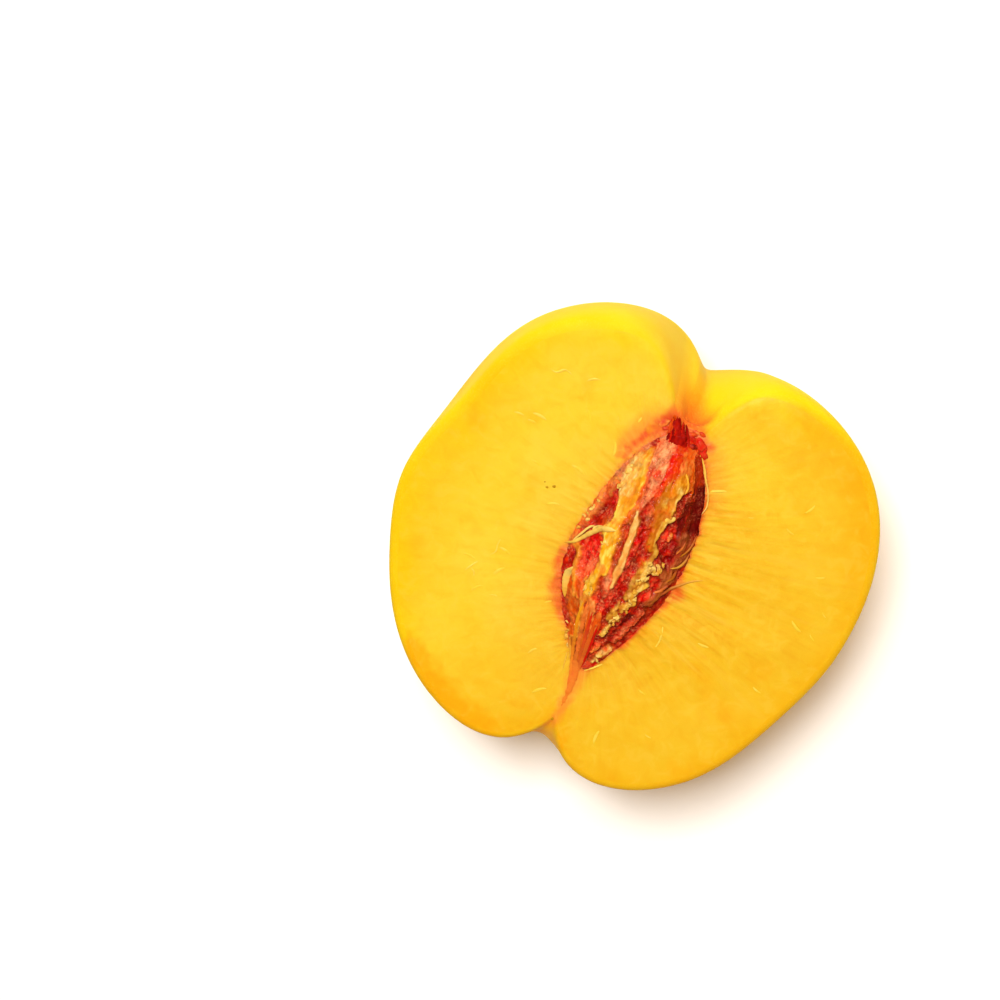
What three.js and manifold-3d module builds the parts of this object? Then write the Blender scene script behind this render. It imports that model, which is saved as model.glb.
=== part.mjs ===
// Half of a yellow peach, cut from stem to tip, with its whole stone still in it. It lies cut face up.
// Millimetres. +Z is the normal of the cut face, +Y points to the stem end, and +X is the right cheek.
// Both solids are made about the middle of the cut face, and the group then puts the origin on the
// surface that the half rests on, below the middle of its box.

import * as THREE from 'three';
import { mergeVertices } from 'three/addons/utils/BufferGeometryUtils.js';
import Module from 'manifold-3d';

// ---- Driving dimensions, mm and radians ----

const FRUIT = {
  halfWidth: 34.6,      // middle of the cut face to a cheek
  depth: 34.5,          // cut face to the back, before the resting spot is pressed flat
  stemReach: 34.0,      // middle to the stem end, before its dent
  tipReach: 39.0,       // middle to the tip end, before its cleft
  stemFullness: 2.4,    // superellipse power of the stem half, 2 is an ellipse
  tipFullness: 2.23,    // the same for the tip half
  restingDepth: 33.7,   // the flat spot under the back lies this far below the cut face
};

// Slow unevenness of the whole fruit, as the change of its radius in each direction.
const LEAN = {
  cheeks: -0.23,        // right cheek less than left
  corners: -0.56,       // upper right and lower left corners less than the other two
  back: 2.85,           // behind the cut face, stem end shallower and tip end deeper
  twist: 7.4,           // behind the cut face, right shoulder lower and left shoulder higher
};

// Places on the rim of the cut face that are pressed in, or that swell where the depth is negative.
// The turn runs from the stem end towards the right cheek.
const PRESSES = [
  { turn: -1.21, depth: 2.0, spread: 0.31 },
  { turn: 2.1, depth: 2.0, spread: 0.37 },
  { turn: -1.65, depth: -1.3, spread: 0.28 },
];

const STEM_DENT = { depth: 12.25, spread: 0.185, power: 2.3, lopsided: 0.295 };
const TIP_CLEFT = { depth: 6.2, spread: 0.108, power: 1.0 };

// The seam that runs down the middle of the back, from the stem dent to the tip cleft.
const SEAM = {
  valleyDepth: 9.0,     // where it crosses the shoulder of the stem dent
  valleyStart: 0.16,
  valleyEnd: 0.69,
  midDepth: 0.5,
  tipDepth: 2.5,
  tipSpread: 0.5,
  halfWidth: 0.147,
  flare: 1.2,
  soften: 0.02,
};

const STONE = {
  stemEnd: 19.4,        // its blunt end, just under the stem dent
  length: 41.9,
  halfThickness: 9.8,   // across, along X
  halfWidth: 11.8,      // up and down, along Z
  endSink: 1.0,         // how far below the cut face its two ends lie
  midSink: 5.0,         // how much lower still its middle is
  sideShift: -1.0,      // its axis passes left of the middle of the cut face
  sway: 0.4,            // S bend of its axis
  tipLean: 2.4,         // how far the tip bends to the right
  bellyShift: 0.97,     // above 1 moves the widest place towards the tip
  stemPoint: 0.52,      // low is blunt, 1 is pointed
  tipPoint: 1.0,
  tipTaper: 0.14,
  keelTurn: 1.7,        // where the keel stands round it, from +X towards +Z
  keelRise: 0.05,       // share of the radius that the keel adds
  keelSpread: 0.22,
};

// Furrows along the stone, each broken into a row of pits.
const FURROWS = {
  count: 12,
  depth: 1.35,
  shallow: 0.4,         // share of the depth that is left between two pits
  pitsInRow: 4.2,
  shift: 2.4,           // how far the pits of one row stand ahead of the next
  wander: 0.16,
  endFade: 1.6,
};

const STONE_GAP = 0.35;  // clearance of the stone in its hollow

// Facets from end to end and round each surface.
const FRUIT_FACETS = { along: 66, round: 30, endCrowding: 0.82, seamCrowding: 0.5 };
const HOLLOW_FACETS = { along: 36, round: 34, endCrowding: 0.7 };
const STONE_FACETS = { along: 44, round: 60, endCrowding: 0.6 };

const WELD = 1e-4;

const FLESH_LOOK = { color: 0xfdcb36, roughness: 0.45, metalness: 0 };
const STONE_LOOK = { color: 0xa8362a, roughness: 0.7, metalness: 0 };

// ---- Shared helpers ----

const bell = (value, spread, power = 2) => Math.exp(-((Math.abs(value) / spread) ** power));
const clampedAcos = (value) => Math.acos(THREE.MathUtils.clamp(value, -1, 1));

/** A share from 0 to 1 whose even steps crowd towards both ends, or to the middle if negative. */
const crowded = (share, crowding) => share - (crowding * Math.sin(2 * Math.PI * share)) / (2 * Math.PI);

/** Triangles of one grid cell with corners a, b on this row and d, c on the next, poles left out. */
function cell(a, b, c, d, startsAtPole, endsAtPole) {
  if (startsAtPole) return [a, d, c];
  if (endsAtPole) return [a, c, b];
  return [a, d, c, a, c, b];
}

function weldedGeometry(points) {
  return mergeVertices(new THREE.BufferGeometry().setFromPoints(points), WELD);
}

// ---- Shape of the fruit ----

/** Radius of the half, from the middle of its cut face, in a unit direction that points down. */
function fruitRadius({ x, y, z }) {
  const fromStem = clampedAcos(y);
  const fromTip = Math.PI - fromStem;
  const across = Math.max(Math.hypot(x, z), 1e-6);

  const reach = y >= 0 ? FRUIT.stemReach : FRUIT.tipReach;
  const fullness = y >= 0 ? FRUIT.stemFullness : FRUIT.tipFullness;
  const girth = across / Math.hypot(x / FRUIT.halfWidth, z / FRUIT.depth);
  const egg = ((across / girth) ** fullness + (Math.abs(y) / reach) ** fullness) ** (-1 / fullness);

  const unevenness = LEAN.cheeks * x + LEAN.corners * x * y + LEAN.back * y * z + LEAN.twist * x * y * z;

  const dentSpread = STEM_DENT.spread * (1 - (STEM_DENT.lopsided * x) / across);
  const dents = STEM_DENT.depth * bell(fromStem, dentSpread, STEM_DENT.power)
    + TIP_CLEFT.depth * bell(fromTip, TIP_CLEFT.spread, TIP_CLEFT.power);

  const valley = SEAM.valleyDepth * (1 - bell(fromStem, SEAM.valleyStart)) * bell(fromStem, SEAM.valleyEnd);
  const seamDepth = valley + SEAM.midDepth + SEAM.tipDepth * bell(fromTip, SEAM.tipSpread);
  const sideways = Math.hypot(x, SEAM.soften) - SEAM.soften;
  const seam = seamDepth * bell(sideways, SEAM.halfWidth, SEAM.flare);

  let pressed = 0;
  for (const { turn, depth, spread } of PRESSES) {
    pressed += depth * bell(clampedAcos(x * Math.sin(turn) + y * Math.cos(turn)), spread);
  }
  return egg + unevenness - dents - seam - pressed;
}

/** The half as one closed surface: its skin from pole to pole, and the cut face in one plane. */
function halfFruit() {
  const { along, round, endCrowding, seamCrowding } = FRUIT_FACETS;
  const middle = new THREE.Vector3();
  const at = (row, column) => {
    const turn = Math.PI * crowded(row / along, endCrowding);
    const dip = Math.PI * crowded(column / round, -seamCrowding);
    const direction = new THREE.Vector3(
      Math.sin(turn) * Math.cos(dip), Math.cos(turn), -Math.sin(turn) * Math.sin(dip));
    const point = direction.clone().multiplyScalar(fruitRadius(direction));
    if (column === 0 || column === round) point.z = 0;
    return point;
  };
  const points = [];
  for (let row = 0; row < along; row += 1) {
    for (let column = 0; column < round; column += 1) {
      points.push(...cell(
        at(row, column), at(row, column + 1), at(row + 1, column + 1), at(row + 1, column),
        row === 0, row === along - 1));
    }
    points.push(middle, at(row + 1, 0), at(row, 0));
    points.push(middle, at(row, round), at(row + 1, round));
  }
  return weldedGeometry(points);
}

// ---- Shape of the stone ----

/** Share of the stone's greatest radius at a share of its length. */
function stoneFullness(share) {
  const point = STONE.stemPoint + (STONE.tipPoint - STONE.stemPoint) * share;
  return Math.sin(Math.PI * share ** STONE.bellyShift) ** point * (1 - STONE.tipTaper * share ** 6);
}

/** How deep the furrows and pits are at a share of the stone's length and a turn from its keel. */
function furrowDepth(share, fromKeel) {
  const wandered = fromKeel + FURROWS.wander * Math.sin(3 * fromKeel) * Math.sin(2 * Math.PI * share);
  const furrow = Math.sin((FURROWS.count / 2) * wandered) ** 2;
  const row = 2 * Math.PI * FURROWS.pitsInRow * share + FURROWS.shift * Math.sin(3 * fromKeel);
  const pit = 0.5 + 0.5 * Math.sin(row);
  const fade = Math.min(1, FURROWS.endFade * stoneFullness(share) ** 2);
  return FURROWS.depth * fade * furrow * (FURROWS.shallow + (1 - FURROWS.shallow) * pit);
}

/** A point on the stone, or on its smooth form grown by a clearance. */
function stonePoint(share, turn, grow, furrowed) {
  const fromKeel = Math.atan2(Math.sin(turn - STONE.keelTurn), Math.cos(turn - STONE.keelTurn));
  const fullness = stoneFullness(share) * (1 + STONE.keelRise * bell(fromKeel, STONE.keelSpread));
  const carved = furrowed ? furrowDepth(share, fromKeel) : 0;
  const reachX = (STONE.halfThickness + grow) * fullness - carved;
  const reachZ = (STONE.halfWidth + grow) * fullness - carved;
  const bend = STONE.sway * Math.sin(2 * Math.PI * share) + STONE.tipLean * share ** 4;
  const axisZ = -STONE.endSink - STONE.midSink * Math.sin(Math.PI * share);
  return new THREE.Vector3(
    STONE.sideShift + bend + reachX * Math.cos(turn),
    STONE.stemEnd + grow - (STONE.length + 2 * grow) * share,
    axisZ + reachZ * Math.sin(turn));
}

/** The stone as one closed surface from its blunt end to its tip. */
function stoneSurface({ along, round, endCrowding }, grow, furrowed) {
  const at = (row, column) => {
    const share = row === along ? 1 : crowded(row / along, endCrowding);
    const atPole = row === 0 || row === along;
    const turn = atPole ? 0 : (2 * Math.PI * (column % round)) / round;
    return stonePoint(share, turn, grow, furrowed);
  };
  const points = [];
  for (let row = 0; row < along; row += 1) {
    for (let column = 0; column < round; column += 1) {
      points.push(...cell(
        at(row, column + 1), at(row, column), at(row + 1, column), at(row + 1, column + 1),
        row === 0, row === along - 1));
    }
  }
  return weldedGeometry(points);
}

// ---- Joins and cuts ----

const wasm = await Module();
wasm.setup();

function toSolid(geometry) {
  const bare = geometry.clone();
  bare.deleteAttribute('normal');
  bare.deleteAttribute('uv');
  const welded = mergeVertices(bare, WELD);
  return new wasm.Manifold(new wasm.Mesh({
    numProp: 3,
    vertProperties: new Float32Array(welded.attributes.position.array),
    triVerts: new Uint32Array(welded.index.array),
  }));
}

function toMesh(name, solid, look) {
  const { vertProperties, triVerts } = solid.getMesh();
  const geometry = new THREE.BufferGeometry();
  geometry.setAttribute('position', new THREE.BufferAttribute(vertProperties, 3));
  geometry.setIndex(new THREE.BufferAttribute(triVerts, 1));
  geometry.computeVertexNormals();
  const mesh = new THREE.Mesh(geometry, new THREE.MeshStandardMaterial(look));
  mesh.name = name;
  return mesh;
}

/** A block that holds everything down to the resting spot. */
function aboveRestingSpot() {
  const side = 4 * FRUIT.halfWidth;
  const block = new THREE.BoxGeometry(side, side, side);
  block.translate(0, 0, side / 2 - FRUIT.restingDepth);
  return toSolid(block);
}

function makeFlesh() {
  const hollow = toSolid(stoneSurface(HOLLOW_FACETS, STONE_GAP, false));
  const solid = toSolid(halfFruit()).intersect(aboveRestingSpot()).subtract(hollow);
  return toMesh('flesh', solid, FLESH_LOOK);
}

function makeStone() {
  return toMesh('stone', toSolid(stoneSurface(STONE_FACETS, 0, true)), STONE_LOOK);
}

const peachHalf = new THREE.Group();
peachHalf.add(makeFlesh(), makeStone());

const reach = new THREE.Box3().setFromObject(peachHalf);
const centre = reach.getCenter(new THREE.Vector3());
peachHalf.position.set(-centre.x, -centre.y, -reach.min.z);

export default peachHalf;
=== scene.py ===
"""Looks of a yellow peach half with its stone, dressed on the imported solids.

Forms are worked out in millimetres about the middle of the cut face: +X is the right cheek,
+Y the stem end and +Z the normal of the cut face. place() turns them into the frame's metres.
"""

import itertools
import math
from typing import NamedTuple

import bmesh
import bpy
import numpy as np
from mathutils import Matrix, Vector


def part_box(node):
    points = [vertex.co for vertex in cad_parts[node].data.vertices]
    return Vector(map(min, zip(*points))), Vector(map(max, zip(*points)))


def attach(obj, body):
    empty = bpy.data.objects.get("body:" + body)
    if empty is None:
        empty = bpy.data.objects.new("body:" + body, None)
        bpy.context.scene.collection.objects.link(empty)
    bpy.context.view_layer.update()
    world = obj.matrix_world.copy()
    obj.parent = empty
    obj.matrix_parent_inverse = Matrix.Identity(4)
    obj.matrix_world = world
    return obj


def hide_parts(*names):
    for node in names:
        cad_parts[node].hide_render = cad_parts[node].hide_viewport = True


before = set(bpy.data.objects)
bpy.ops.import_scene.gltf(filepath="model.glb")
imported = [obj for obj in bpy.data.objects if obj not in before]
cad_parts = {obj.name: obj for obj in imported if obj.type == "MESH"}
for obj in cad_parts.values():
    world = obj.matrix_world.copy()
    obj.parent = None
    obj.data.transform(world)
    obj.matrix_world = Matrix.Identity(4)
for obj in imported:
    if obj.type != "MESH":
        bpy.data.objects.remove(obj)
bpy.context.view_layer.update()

bl_info = {
    "name": "Peach half",
    "version": (1, 0, 0),
    "blender": (4, 5, 0),
    "location": "3D View > Sidebar > Peach half",
    "description": "Builds the flesh, skin, stone and fibres of a cut peach",
    "category": "Add Mesh",
}

MM = 0.001
BODY = "root"
# Kept clear of zero in divisions.
SMALL = 1e-6

# ---- Form of the fruit, the same values as its solid ----

FRUIT = dict(half_width=34.6, depth=34.5, stem_reach=34.0, tip_reach=39.0,
             stem_fullness=2.4, tip_fullness=2.23, resting_depth=33.7)
LEAN = dict(cheeks=-0.23, corners=-0.56, back=2.85, twist=7.4)
PRESSES = ((-1.21, 2.0, 0.31), (2.1, 2.0, 0.37), (-1.65, -1.3, 0.28))
STEM_DENT = dict(depth=12.25, spread=0.185, power=2.3, lopsided=0.295)
TIP_CLEFT = dict(depth=6.2, spread=0.108, power=1.0)
SEAM = dict(valley_depth=9.0, valley_start=0.16, valley_end=0.69, mid_depth=0.5,
            tip_depth=2.5, tip_spread=0.5, half_width=0.147, flare=1.2, soften=0.02)

# ---- Form of the stone, the same values as its solid ----

STONE = dict(stem_end=19.4, length=41.9, half_thickness=9.8, half_width=11.8, end_sink=1.0,
             mid_sink=5.0, side_shift=-1.0, sway=0.4, tip_lean=2.4, belly_shift=0.97,
             stem_point=0.52, tip_point=1.0, tip_taper=0.14,
             keel_turn=1.7, keel_rise=0.05, keel_spread=0.22)
FURROWS = dict(count=12, depth=1.35, shallow=0.4, pits_in_row=4.2, shift=2.4, wander=0.16,
               end_fade=1.6)
STONE_GAP = 0.35
# Nearest that the hollow is looked for to the stone's ends, as a share of its length.
END_SHARE = 1e-4

# ---- Fine form that the solids leave out ----

# How much rounder the edge is at the dent, as a share of its rounding elsewhere.
DENT_ROUNDING = 1.2
# Rings on each side of the edge over which the dent's walls are softened, and how often.
DENT_REACH = 12
DENT_PASSES = 60
# The flesh clings to the stone: how far its inner edge passes the hollow's, and how much it wanders.
CLING = 0.6
CLING_WANDER = 0.28
# Level of the hollow's highest ring, under the flesh that clings.
HOLLOW_TOP = -0.6
# How far below its plane the face's relief has faded out in the skin, and a distance from the stone
# at which no fold or lip is left.
RELIEF_FADE = 2.5
FAR_OUT = 30.0
# The face dips under the torn tuft: the dip's middle, half lengths and depth.
STEM_DIP = dict(x=-1.4, y=20.3, half_width=2.6, half_length=0.9, depth=0.9)
# The fibres follow the curves that cross a set of ovals at right angles: half the distance between
# the ovals' foci, and how far their middle lies towards the tip.
FIBRE_FOCUS = 17.5
FIBRE_MIDDLE = 0.5
# Folds, fibres and the margin's teeth: how many lie side by side, and how fast each changes as it runs.
FOLDS = (9.0, 0.12)
FIBRES = (24.0, 0.25)
TEETH = (9.0, 0.3)
# The stone's patterns are drawn out along it by this much on each axis.
COMB = (1.0, 0.4, 1.0)
# How often the stone's heights are evened out to find its low places.
CAVITY_PASSES = 40

# Seeds of the noises and the random draws.
SEEDS = dict(flesh=11, stone=23, strands=31, scar=37, scar_strands=5, grown=41)

# ---- Mesh densities ----

SPOKES = 720
FACE_RINGS = 66
EDGE_RINGS = 10
SKIN_RINGS = 38
HOLLOW_RINGS = 13
STONE_ROWS = 400
STONE_TOP_COLUMNS = 196
STONE_UNDER_COLUMNS = 44
STONE_TOP_TURNS = (0.34, 2.86)
# How much closer the turns of the face are at the stem end and at the tip, and over what spread.
STEM_CROWD = (2.5, 0.35)
TIP_CROWD = (2.0, 0.2)
# The hollow's wall is looked for within this reach, which is halved this many times.
HOLLOW_REACH = 30.0
HALVINGS = 22


# ---- Colours ----

def linear(red, green, blue):
    """Scene-linear values of a colour given in 0 to 255 display values."""
    shares = np.array((red, green, blue), float) / 255
    return np.where(shares <= 0.04045, shares / 12.92, ((shares + 0.055) / 1.055) ** 2.4)


# How much brighter than its own colour a surface comes out under the studio light.
LIGHT_GAIN = 1.27
# What the surface's shine adds, and the darkest and the lightest base colour.
SHINE = 0.012
DARKEST = 0.0015
LIGHTEST = 0.82


def seen(red, green, blue):
    """Base colour of a surface that comes out in these display values."""
    return np.clip(linear(red, green, blue) / LIGHT_GAIN - SHINE, DARKEST, LIGHTEST)


# How each tone comes out, and for some the one that they are mottled with. Values over 255 make
# up for the weak light on steep walls.
TONE_PAIRS = {
    "face": ((252, 218, 62),),
    "face_pale": ((253, 226, 92),),
    "rim_stem": ((252, 218, 10),),
    "rim_low": ((252, 198, 22),),
    "patch": ((251, 182, 18),),
    "near_stone": ((240, 185, 42),),
    "halo_orange": ((252, 150, 66),),
    "halo_red": ((238, 78, 54),),
    # Red flesh of the hollow's wall, dark partly as painted shade.
    "hollow": ((150, 44, 16),),
    "skin": ((254, 214, 42),),
    # Paler skin: partly the skin's own colour, partly painted light where it faces the lamp.
    "skin_pale_lit": ((255, 226, 40),),
    # Orange blush: partly the skin's own, partly painted shade low down.
    "skin_blush_and_shade": ((248, 172, 30),),
    # Orange tint for the seam and the tip's notch: painted shade, over 255 to offset weak light.
    "seam_shade": ((258, 182, 48),),
    # The dent's left wall, lightened as painted light, over 255 to offset its shade.
    "dent_wall_lit": ((262, 208, 62),),
    "pulp": ((208, 38, 20), (236, 88, 54)),
    "pulp_dark": ((156, 30, 16), (196, 58, 34)),
    "pit_red": ((222, 36, 22), (240, 88, 60)),
    "pit_deep": ((172, 22, 12), (216, 52, 34)),
    "maroon": ((112, 22, 10), (126, 32, 16)),
    "pink": ((240, 134, 84), (250, 164, 108)),
    "pink_red": ((226, 78, 48), (240, 122, 78)),
    "pale_ridge": ((248, 166, 78), (252, 196, 108)),
    "rim_orange": ((244, 140, 64), (236, 104, 50)),
    "orange": ((240, 140, 50), (246, 164, 62)),
    "deep_yellow": ((246, 156, 44), (248, 172, 52)),
    "orange_red": ((232, 92, 34), (242, 128, 56)),
    "wet_red": ((222, 42, 18), (236, 74, 34)),
    # Dark red that stands in for the hollow's shaded wall: painted shade.
    "dark_wall": ((172, 48, 24), (186, 62, 32)),
    "yellow": ((250, 172, 40), (255, 208, 84)),
    "cream": ((250, 192, 92), (255, 222, 132)),
    "amber": ((222, 132, 36), (240, 168, 60)),
    "brown_orange": ((204, 112, 36), (216, 128, 44)),
    "olive": ((236, 176, 62), (252, 208, 108)),
    "olive_dark": ((206, 132, 46), (234, 176, 72)),
    "strand": ((244, 132, 60), (250, 158, 80)),
    "mauve": ((168, 72, 44), (196, 108, 66)),
    "brown": ((184, 84, 46), (210, 118, 64)),
    "shell": ((140, 66, 36), (162, 88, 52)),
    # Warm orange for the low part of the dent's left wall: painted shade, over 255 to offset weak light.
    "dent_low_shade": ((262, 158, 14),),
    "scar_dark": ((138, 22, 6), (172, 38, 14)),
    "scar": ((194, 44, 18), (224, 84, 42)),
    "lump": ((232, 36, 20), (242, 84, 52)),
    "fibre": ((248, 196, 78),),
    "fibre_pale": ((252, 218, 118),),
    "mark": ((255, 222, 88),),
    "speck": ((206, 156, 36),),
    # Painted highlight: pale pink for specks that stand in for wet glints.
    "glint": ((255, 146, 100),),
}
# The tone of the thin border where a tone meets the pulp round it.
BORDERS = {
    "yellow": "orange", "cream": "orange", "deep_yellow": "orange", "pale_ridge": "orange",
    "olive": "brown_orange", "amber": "brown_orange", "brown_orange": "orange_red",
    "strand": "orange_red", "pink": "pink_red",
}
TONES = {name: seen(*pair[0]) for name, pair in TONE_PAIRS.items()}
MOTTLES = {name: seen(*pair[-1]) for name, pair in TONE_PAIRS.items()}


# ---- Plain maths ----

def bell(value, spread, power=2.0):
    """1 at zero, falling smoothly on both sides."""
    return np.exp(-((np.abs(value) / spread) ** power))


def ramp(low, high, value):
    """0 below low, 1 above high and a smooth change between them."""
    share = np.clip((value - low) / (high - low), 0, 1)
    return share * share * (3 - 2 * share)


def mix(first, second, share):
    return first * (1 - share) + second * share


def tint(first, second, share):
    """One colour for each point passing into another."""
    return mix(first, second, np.broadcast_to(share, np.shape(share) or (1,))[:, None])


def plain(name, count):
    """One tone at each of so many points."""
    return np.broadcast_to(TONES[name], (count, 3)).copy()


def washed(tone, washes):
    """Tones with washes laid over them in turn: the wash's tone, and its share at each point."""
    for name, share in washes:
        tone = tint(tone, TONES[name], share)
    return tone


class Noise:
    """Seeded gradient noise, roughly from -1 to 1, at points given in millimetres."""

    CELLS = 256
    GAIN = 1.5
    LAYER_SHIFT = 17.3

    def __init__(self, seed):
        draw = np.random.default_rng(seed)
        self.order = np.tile(draw.permutation(self.CELLS), 3)
        slopes = draw.normal(size=(self.CELLS, 3))
        self.slopes = slopes / np.linalg.norm(slopes, axis=1, keepdims=True)

    def at(self, points, size):
        """Noise whose forms are about size wide."""
        cells = np.asarray(points, float) / size
        low = np.floor(cells).astype(int)
        part = cells - low
        fade = part ** 3 * (part * (part * 6 - 15) + 10)
        low &= self.CELLS - 1
        total = np.zeros(len(cells))
        for corner in itertools.product((0, 1), repeat=3):
            index = 0
            for axis, side in enumerate(corner):
                index = self.order[index + low[:, axis] + side]
            value = (self.slopes[index] * (part - corner)).sum(1)
            for axis, side in enumerate(corner):
                value = value * (fade[:, axis] if side else 1 - fade[:, axis])
            total += value
        return total * self.GAIN

    def layered(self, points, size, layers=3, gain=0.5):
        """Layers of noise, each half as wide as the one before it and gain times as high."""
        total, height = 0, 1
        for layer in range(layers):
            shifted = np.asarray(points) + self.LAYER_SHIFT * layer
            total = total + height * self.at(shifted, size * 0.5 ** layer)
            height *= gain
        return total


def flat(x, y, level=0.0):
    """Points in the plane of the cut face, or at one level of a noise."""
    return np.stack([x, y, np.full_like(x, level)], -1)


# ---- Form of the fruit ----

def fruit_radius(x, y, z):
    """Radius of the half, from the middle of its cut face, in unit directions that point down."""
    from_stem = np.arccos(np.clip(y, -1, 1))
    from_tip = math.pi - from_stem
    across = np.maximum(np.hypot(x, z), SMALL)

    reach = np.where(y >= 0, FRUIT["stem_reach"], FRUIT["tip_reach"])
    fullness = np.where(y >= 0, FRUIT["stem_fullness"], FRUIT["tip_fullness"])
    girth = np.hypot(x / FRUIT["half_width"], z / FRUIT["depth"])
    egg = (girth ** fullness + (np.abs(y) / reach) ** fullness) ** (-1 / fullness)

    uneven = LEAN["cheeks"] * x + LEAN["corners"] * x * y
    uneven = uneven + LEAN["back"] * y * z + LEAN["twist"] * x * y * z

    dent_spread = STEM_DENT["spread"] * (1 - STEM_DENT["lopsided"] * x / across)
    dents = STEM_DENT["depth"] * bell(from_stem, dent_spread, STEM_DENT["power"])
    dents = dents + TIP_CLEFT["depth"] * bell(from_tip, TIP_CLEFT["spread"], TIP_CLEFT["power"])

    valley = SEAM["valley_depth"] * (1 - bell(from_stem, SEAM["valley_start"]))
    valley = valley * bell(from_stem, SEAM["valley_end"])
    seam_depth = valley + SEAM["mid_depth"] + SEAM["tip_depth"] * bell(from_tip, SEAM["tip_spread"])
    sideways = np.hypot(x, SEAM["soften"]) - SEAM["soften"]
    seam = seam_depth * bell(sideways, SEAM["half_width"], SEAM["flare"])

    pressed = 0
    for turn, depth, spread in PRESSES:
        nearness = np.clip(x * math.sin(turn) + y * math.cos(turn), -1, 1)
        pressed = pressed + depth * bell(np.arccos(nearness), spread)
    return egg + uneven - dents - seam - pressed


def skin_point(turn, dip):
    """A point of the skin at a turn from the stem end to the right and a dip below the cut face."""
    x = np.sin(turn) * np.cos(dip)
    y = np.cos(turn) * np.cos(dip)
    z = -np.sin(dip)
    radius = fruit_radius(x, y, z)
    return radius * x, radius * y, np.maximum(radius * z, -FRUIT["resting_depth"])


def middle_of_face():
    """Middle of the cut face in the frame, in millimetres."""
    turn, dip = np.meshgrid(np.linspace(0, math.tau, 1441), np.linspace(0, math.pi / 2, 91))
    x, y, _ = skin_point(turn, dip)
    low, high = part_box("flesh")
    return np.array([
        (low.x + high.x) / MM - (x.min() + x.max()),
        (low.y + high.y) / MM - (y.min() + y.max()),
        2 * high.z / MM]) / 2


MIDDLE = middle_of_face()


def place(points):
    """Metres of the frame for points in millimetres about the middle of the cut face."""
    return (np.asarray(points, float) + MIDDLE) * MM


# ---- Form of the stone ----

def stone_fullness(share):
    """How full the stone is at a share of its length, without its keel."""
    point = STONE["stem_point"] + (STONE["tip_point"] - STONE["stem_point"]) * share
    taper = 1 - STONE["tip_taper"] * share ** 6
    return np.sin(math.pi * share ** STONE["belly_shift"]) ** point * taper


def stone_section(share, turn):
    """Size of the stone's section, as a share of its largest, with the keel standing out."""
    keel = 1 + STONE["keel_rise"] * bell(from_keel(turn), STONE["keel_spread"])
    return stone_fullness(share) * keel


def stone_axis(share):
    """Middle of the stone's section, across and up."""
    bend = STONE["sway"] * np.sin(math.tau * share) + STONE["tip_lean"] * share ** 4
    return STONE["side_shift"] + bend, -STONE["end_sink"] - STONE["mid_sink"] * np.sin(math.pi * share)


def from_keel(turn):
    """Turn from the stone's keel, to either side."""
    return np.arctan2(np.sin(turn - STONE["keel_turn"]), np.cos(turn - STONE["keel_turn"]))


def furrow_depth(share, keel):
    """Depth of the furrows and pits at a share of the stone's length and a turn from its keel."""
    wandered = keel + FURROWS["wander"] * np.sin(3 * keel) * np.sin(math.tau * share)
    furrow = np.sin(FURROWS["count"] / 2 * wandered) ** 2
    row = math.tau * FURROWS["pits_in_row"] * share + FURROWS["shift"] * np.sin(3 * keel)
    fade = np.minimum(1, FURROWS["end_fade"] * stone_fullness(share) ** 2)
    pit = FURROWS["shallow"] + (1 - FURROWS["shallow"]) * (0.5 + 0.5 * np.sin(row))
    return FURROWS["depth"] * fade * furrow * pit


def stone_point(share, turn, lift=0.0):
    """A point on the smooth stone, raised by lift."""
    section = stone_section(share, turn)
    axis_x, axis_z = stone_axis(share)
    reach_x = STONE["half_thickness"] * section + lift
    reach_z = STONE["half_width"] * section + lift
    y = STONE["stem_end"] - STONE["length"] * share
    return axis_x + reach_x * np.cos(turn), y, axis_z + reach_z * np.sin(turn)


def in_hollow(x, y, z):
    """Whether points lie in the hollow that holds the stone."""
    share = (STONE["stem_end"] + STONE_GAP - y) / (STONE["length"] + 2 * STONE_GAP)
    inside = (share > END_SHARE) & (share < 1 - END_SHARE)
    share = np.clip(share, END_SHARE, 1 - END_SHARE)
    axis_x, axis_z = stone_axis(share)
    across = (x - axis_x) / (STONE["half_thickness"] + STONE_GAP)
    up = (z - axis_z) / (STONE["half_width"] + STONE_GAP)
    return inside & (np.hypot(across, up) < stone_section(share, np.arctan2(up, across)))


def hollow_radius(x, y, z):
    """Distance from the middle of the cut face to the hollow's wall in unit directions."""
    near = np.zeros_like(x)
    far = np.full_like(x, HOLLOW_REACH)
    for _ in range(HALVINGS):
        half = (near + far) / 2
        inside = in_hollow(x * half, y * half, z * half)
        near = np.where(inside, half, near)
        far = np.where(inside, far, half)
    return near


# ---- Painting with strokes, in plan ----

class Stroke(NamedTuple):
    """A soft-edged stroke on the face or the stone: its path, half width, tone and relief."""
    path: tuple
    width: tuple
    tone: str
    lift: float = 0.0
    grain: float = 0.0
    wet: float = 0.5
    soft: float = 0.5
    cover: float = 1.0


def stroke_cover(stroke, x, y, wider=1.0):
    """How much of a stroke, or of a wider one on its path, lies at each point, 0 to 1."""
    best = np.full_like(x, 1e9)
    path = np.array(stroke.path, float)
    widths = np.interp(np.linspace(0, 1, len(path)), np.linspace(0, 1, len(stroke.width)), stroke.width)
    for start, end, width_start, width_end in zip(path[:-1], path[1:], widths[:-1], widths[1:]):
        along = end - start
        share = ((x - start[0]) * along[0] + (y - start[1]) * along[1]) / max(along @ along, 1e-9)
        share = np.clip(share, 0, 1)
        gap = np.hypot(x - start[0] - share * along[0], y - start[1] - share * along[1])
        best = np.minimum(best, gap / wider / (width_start + (width_end - width_start) * share))
    return stroke.cover * (1 - ramp(1 - stroke.soft, 1 + stroke.soft, best))


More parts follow.
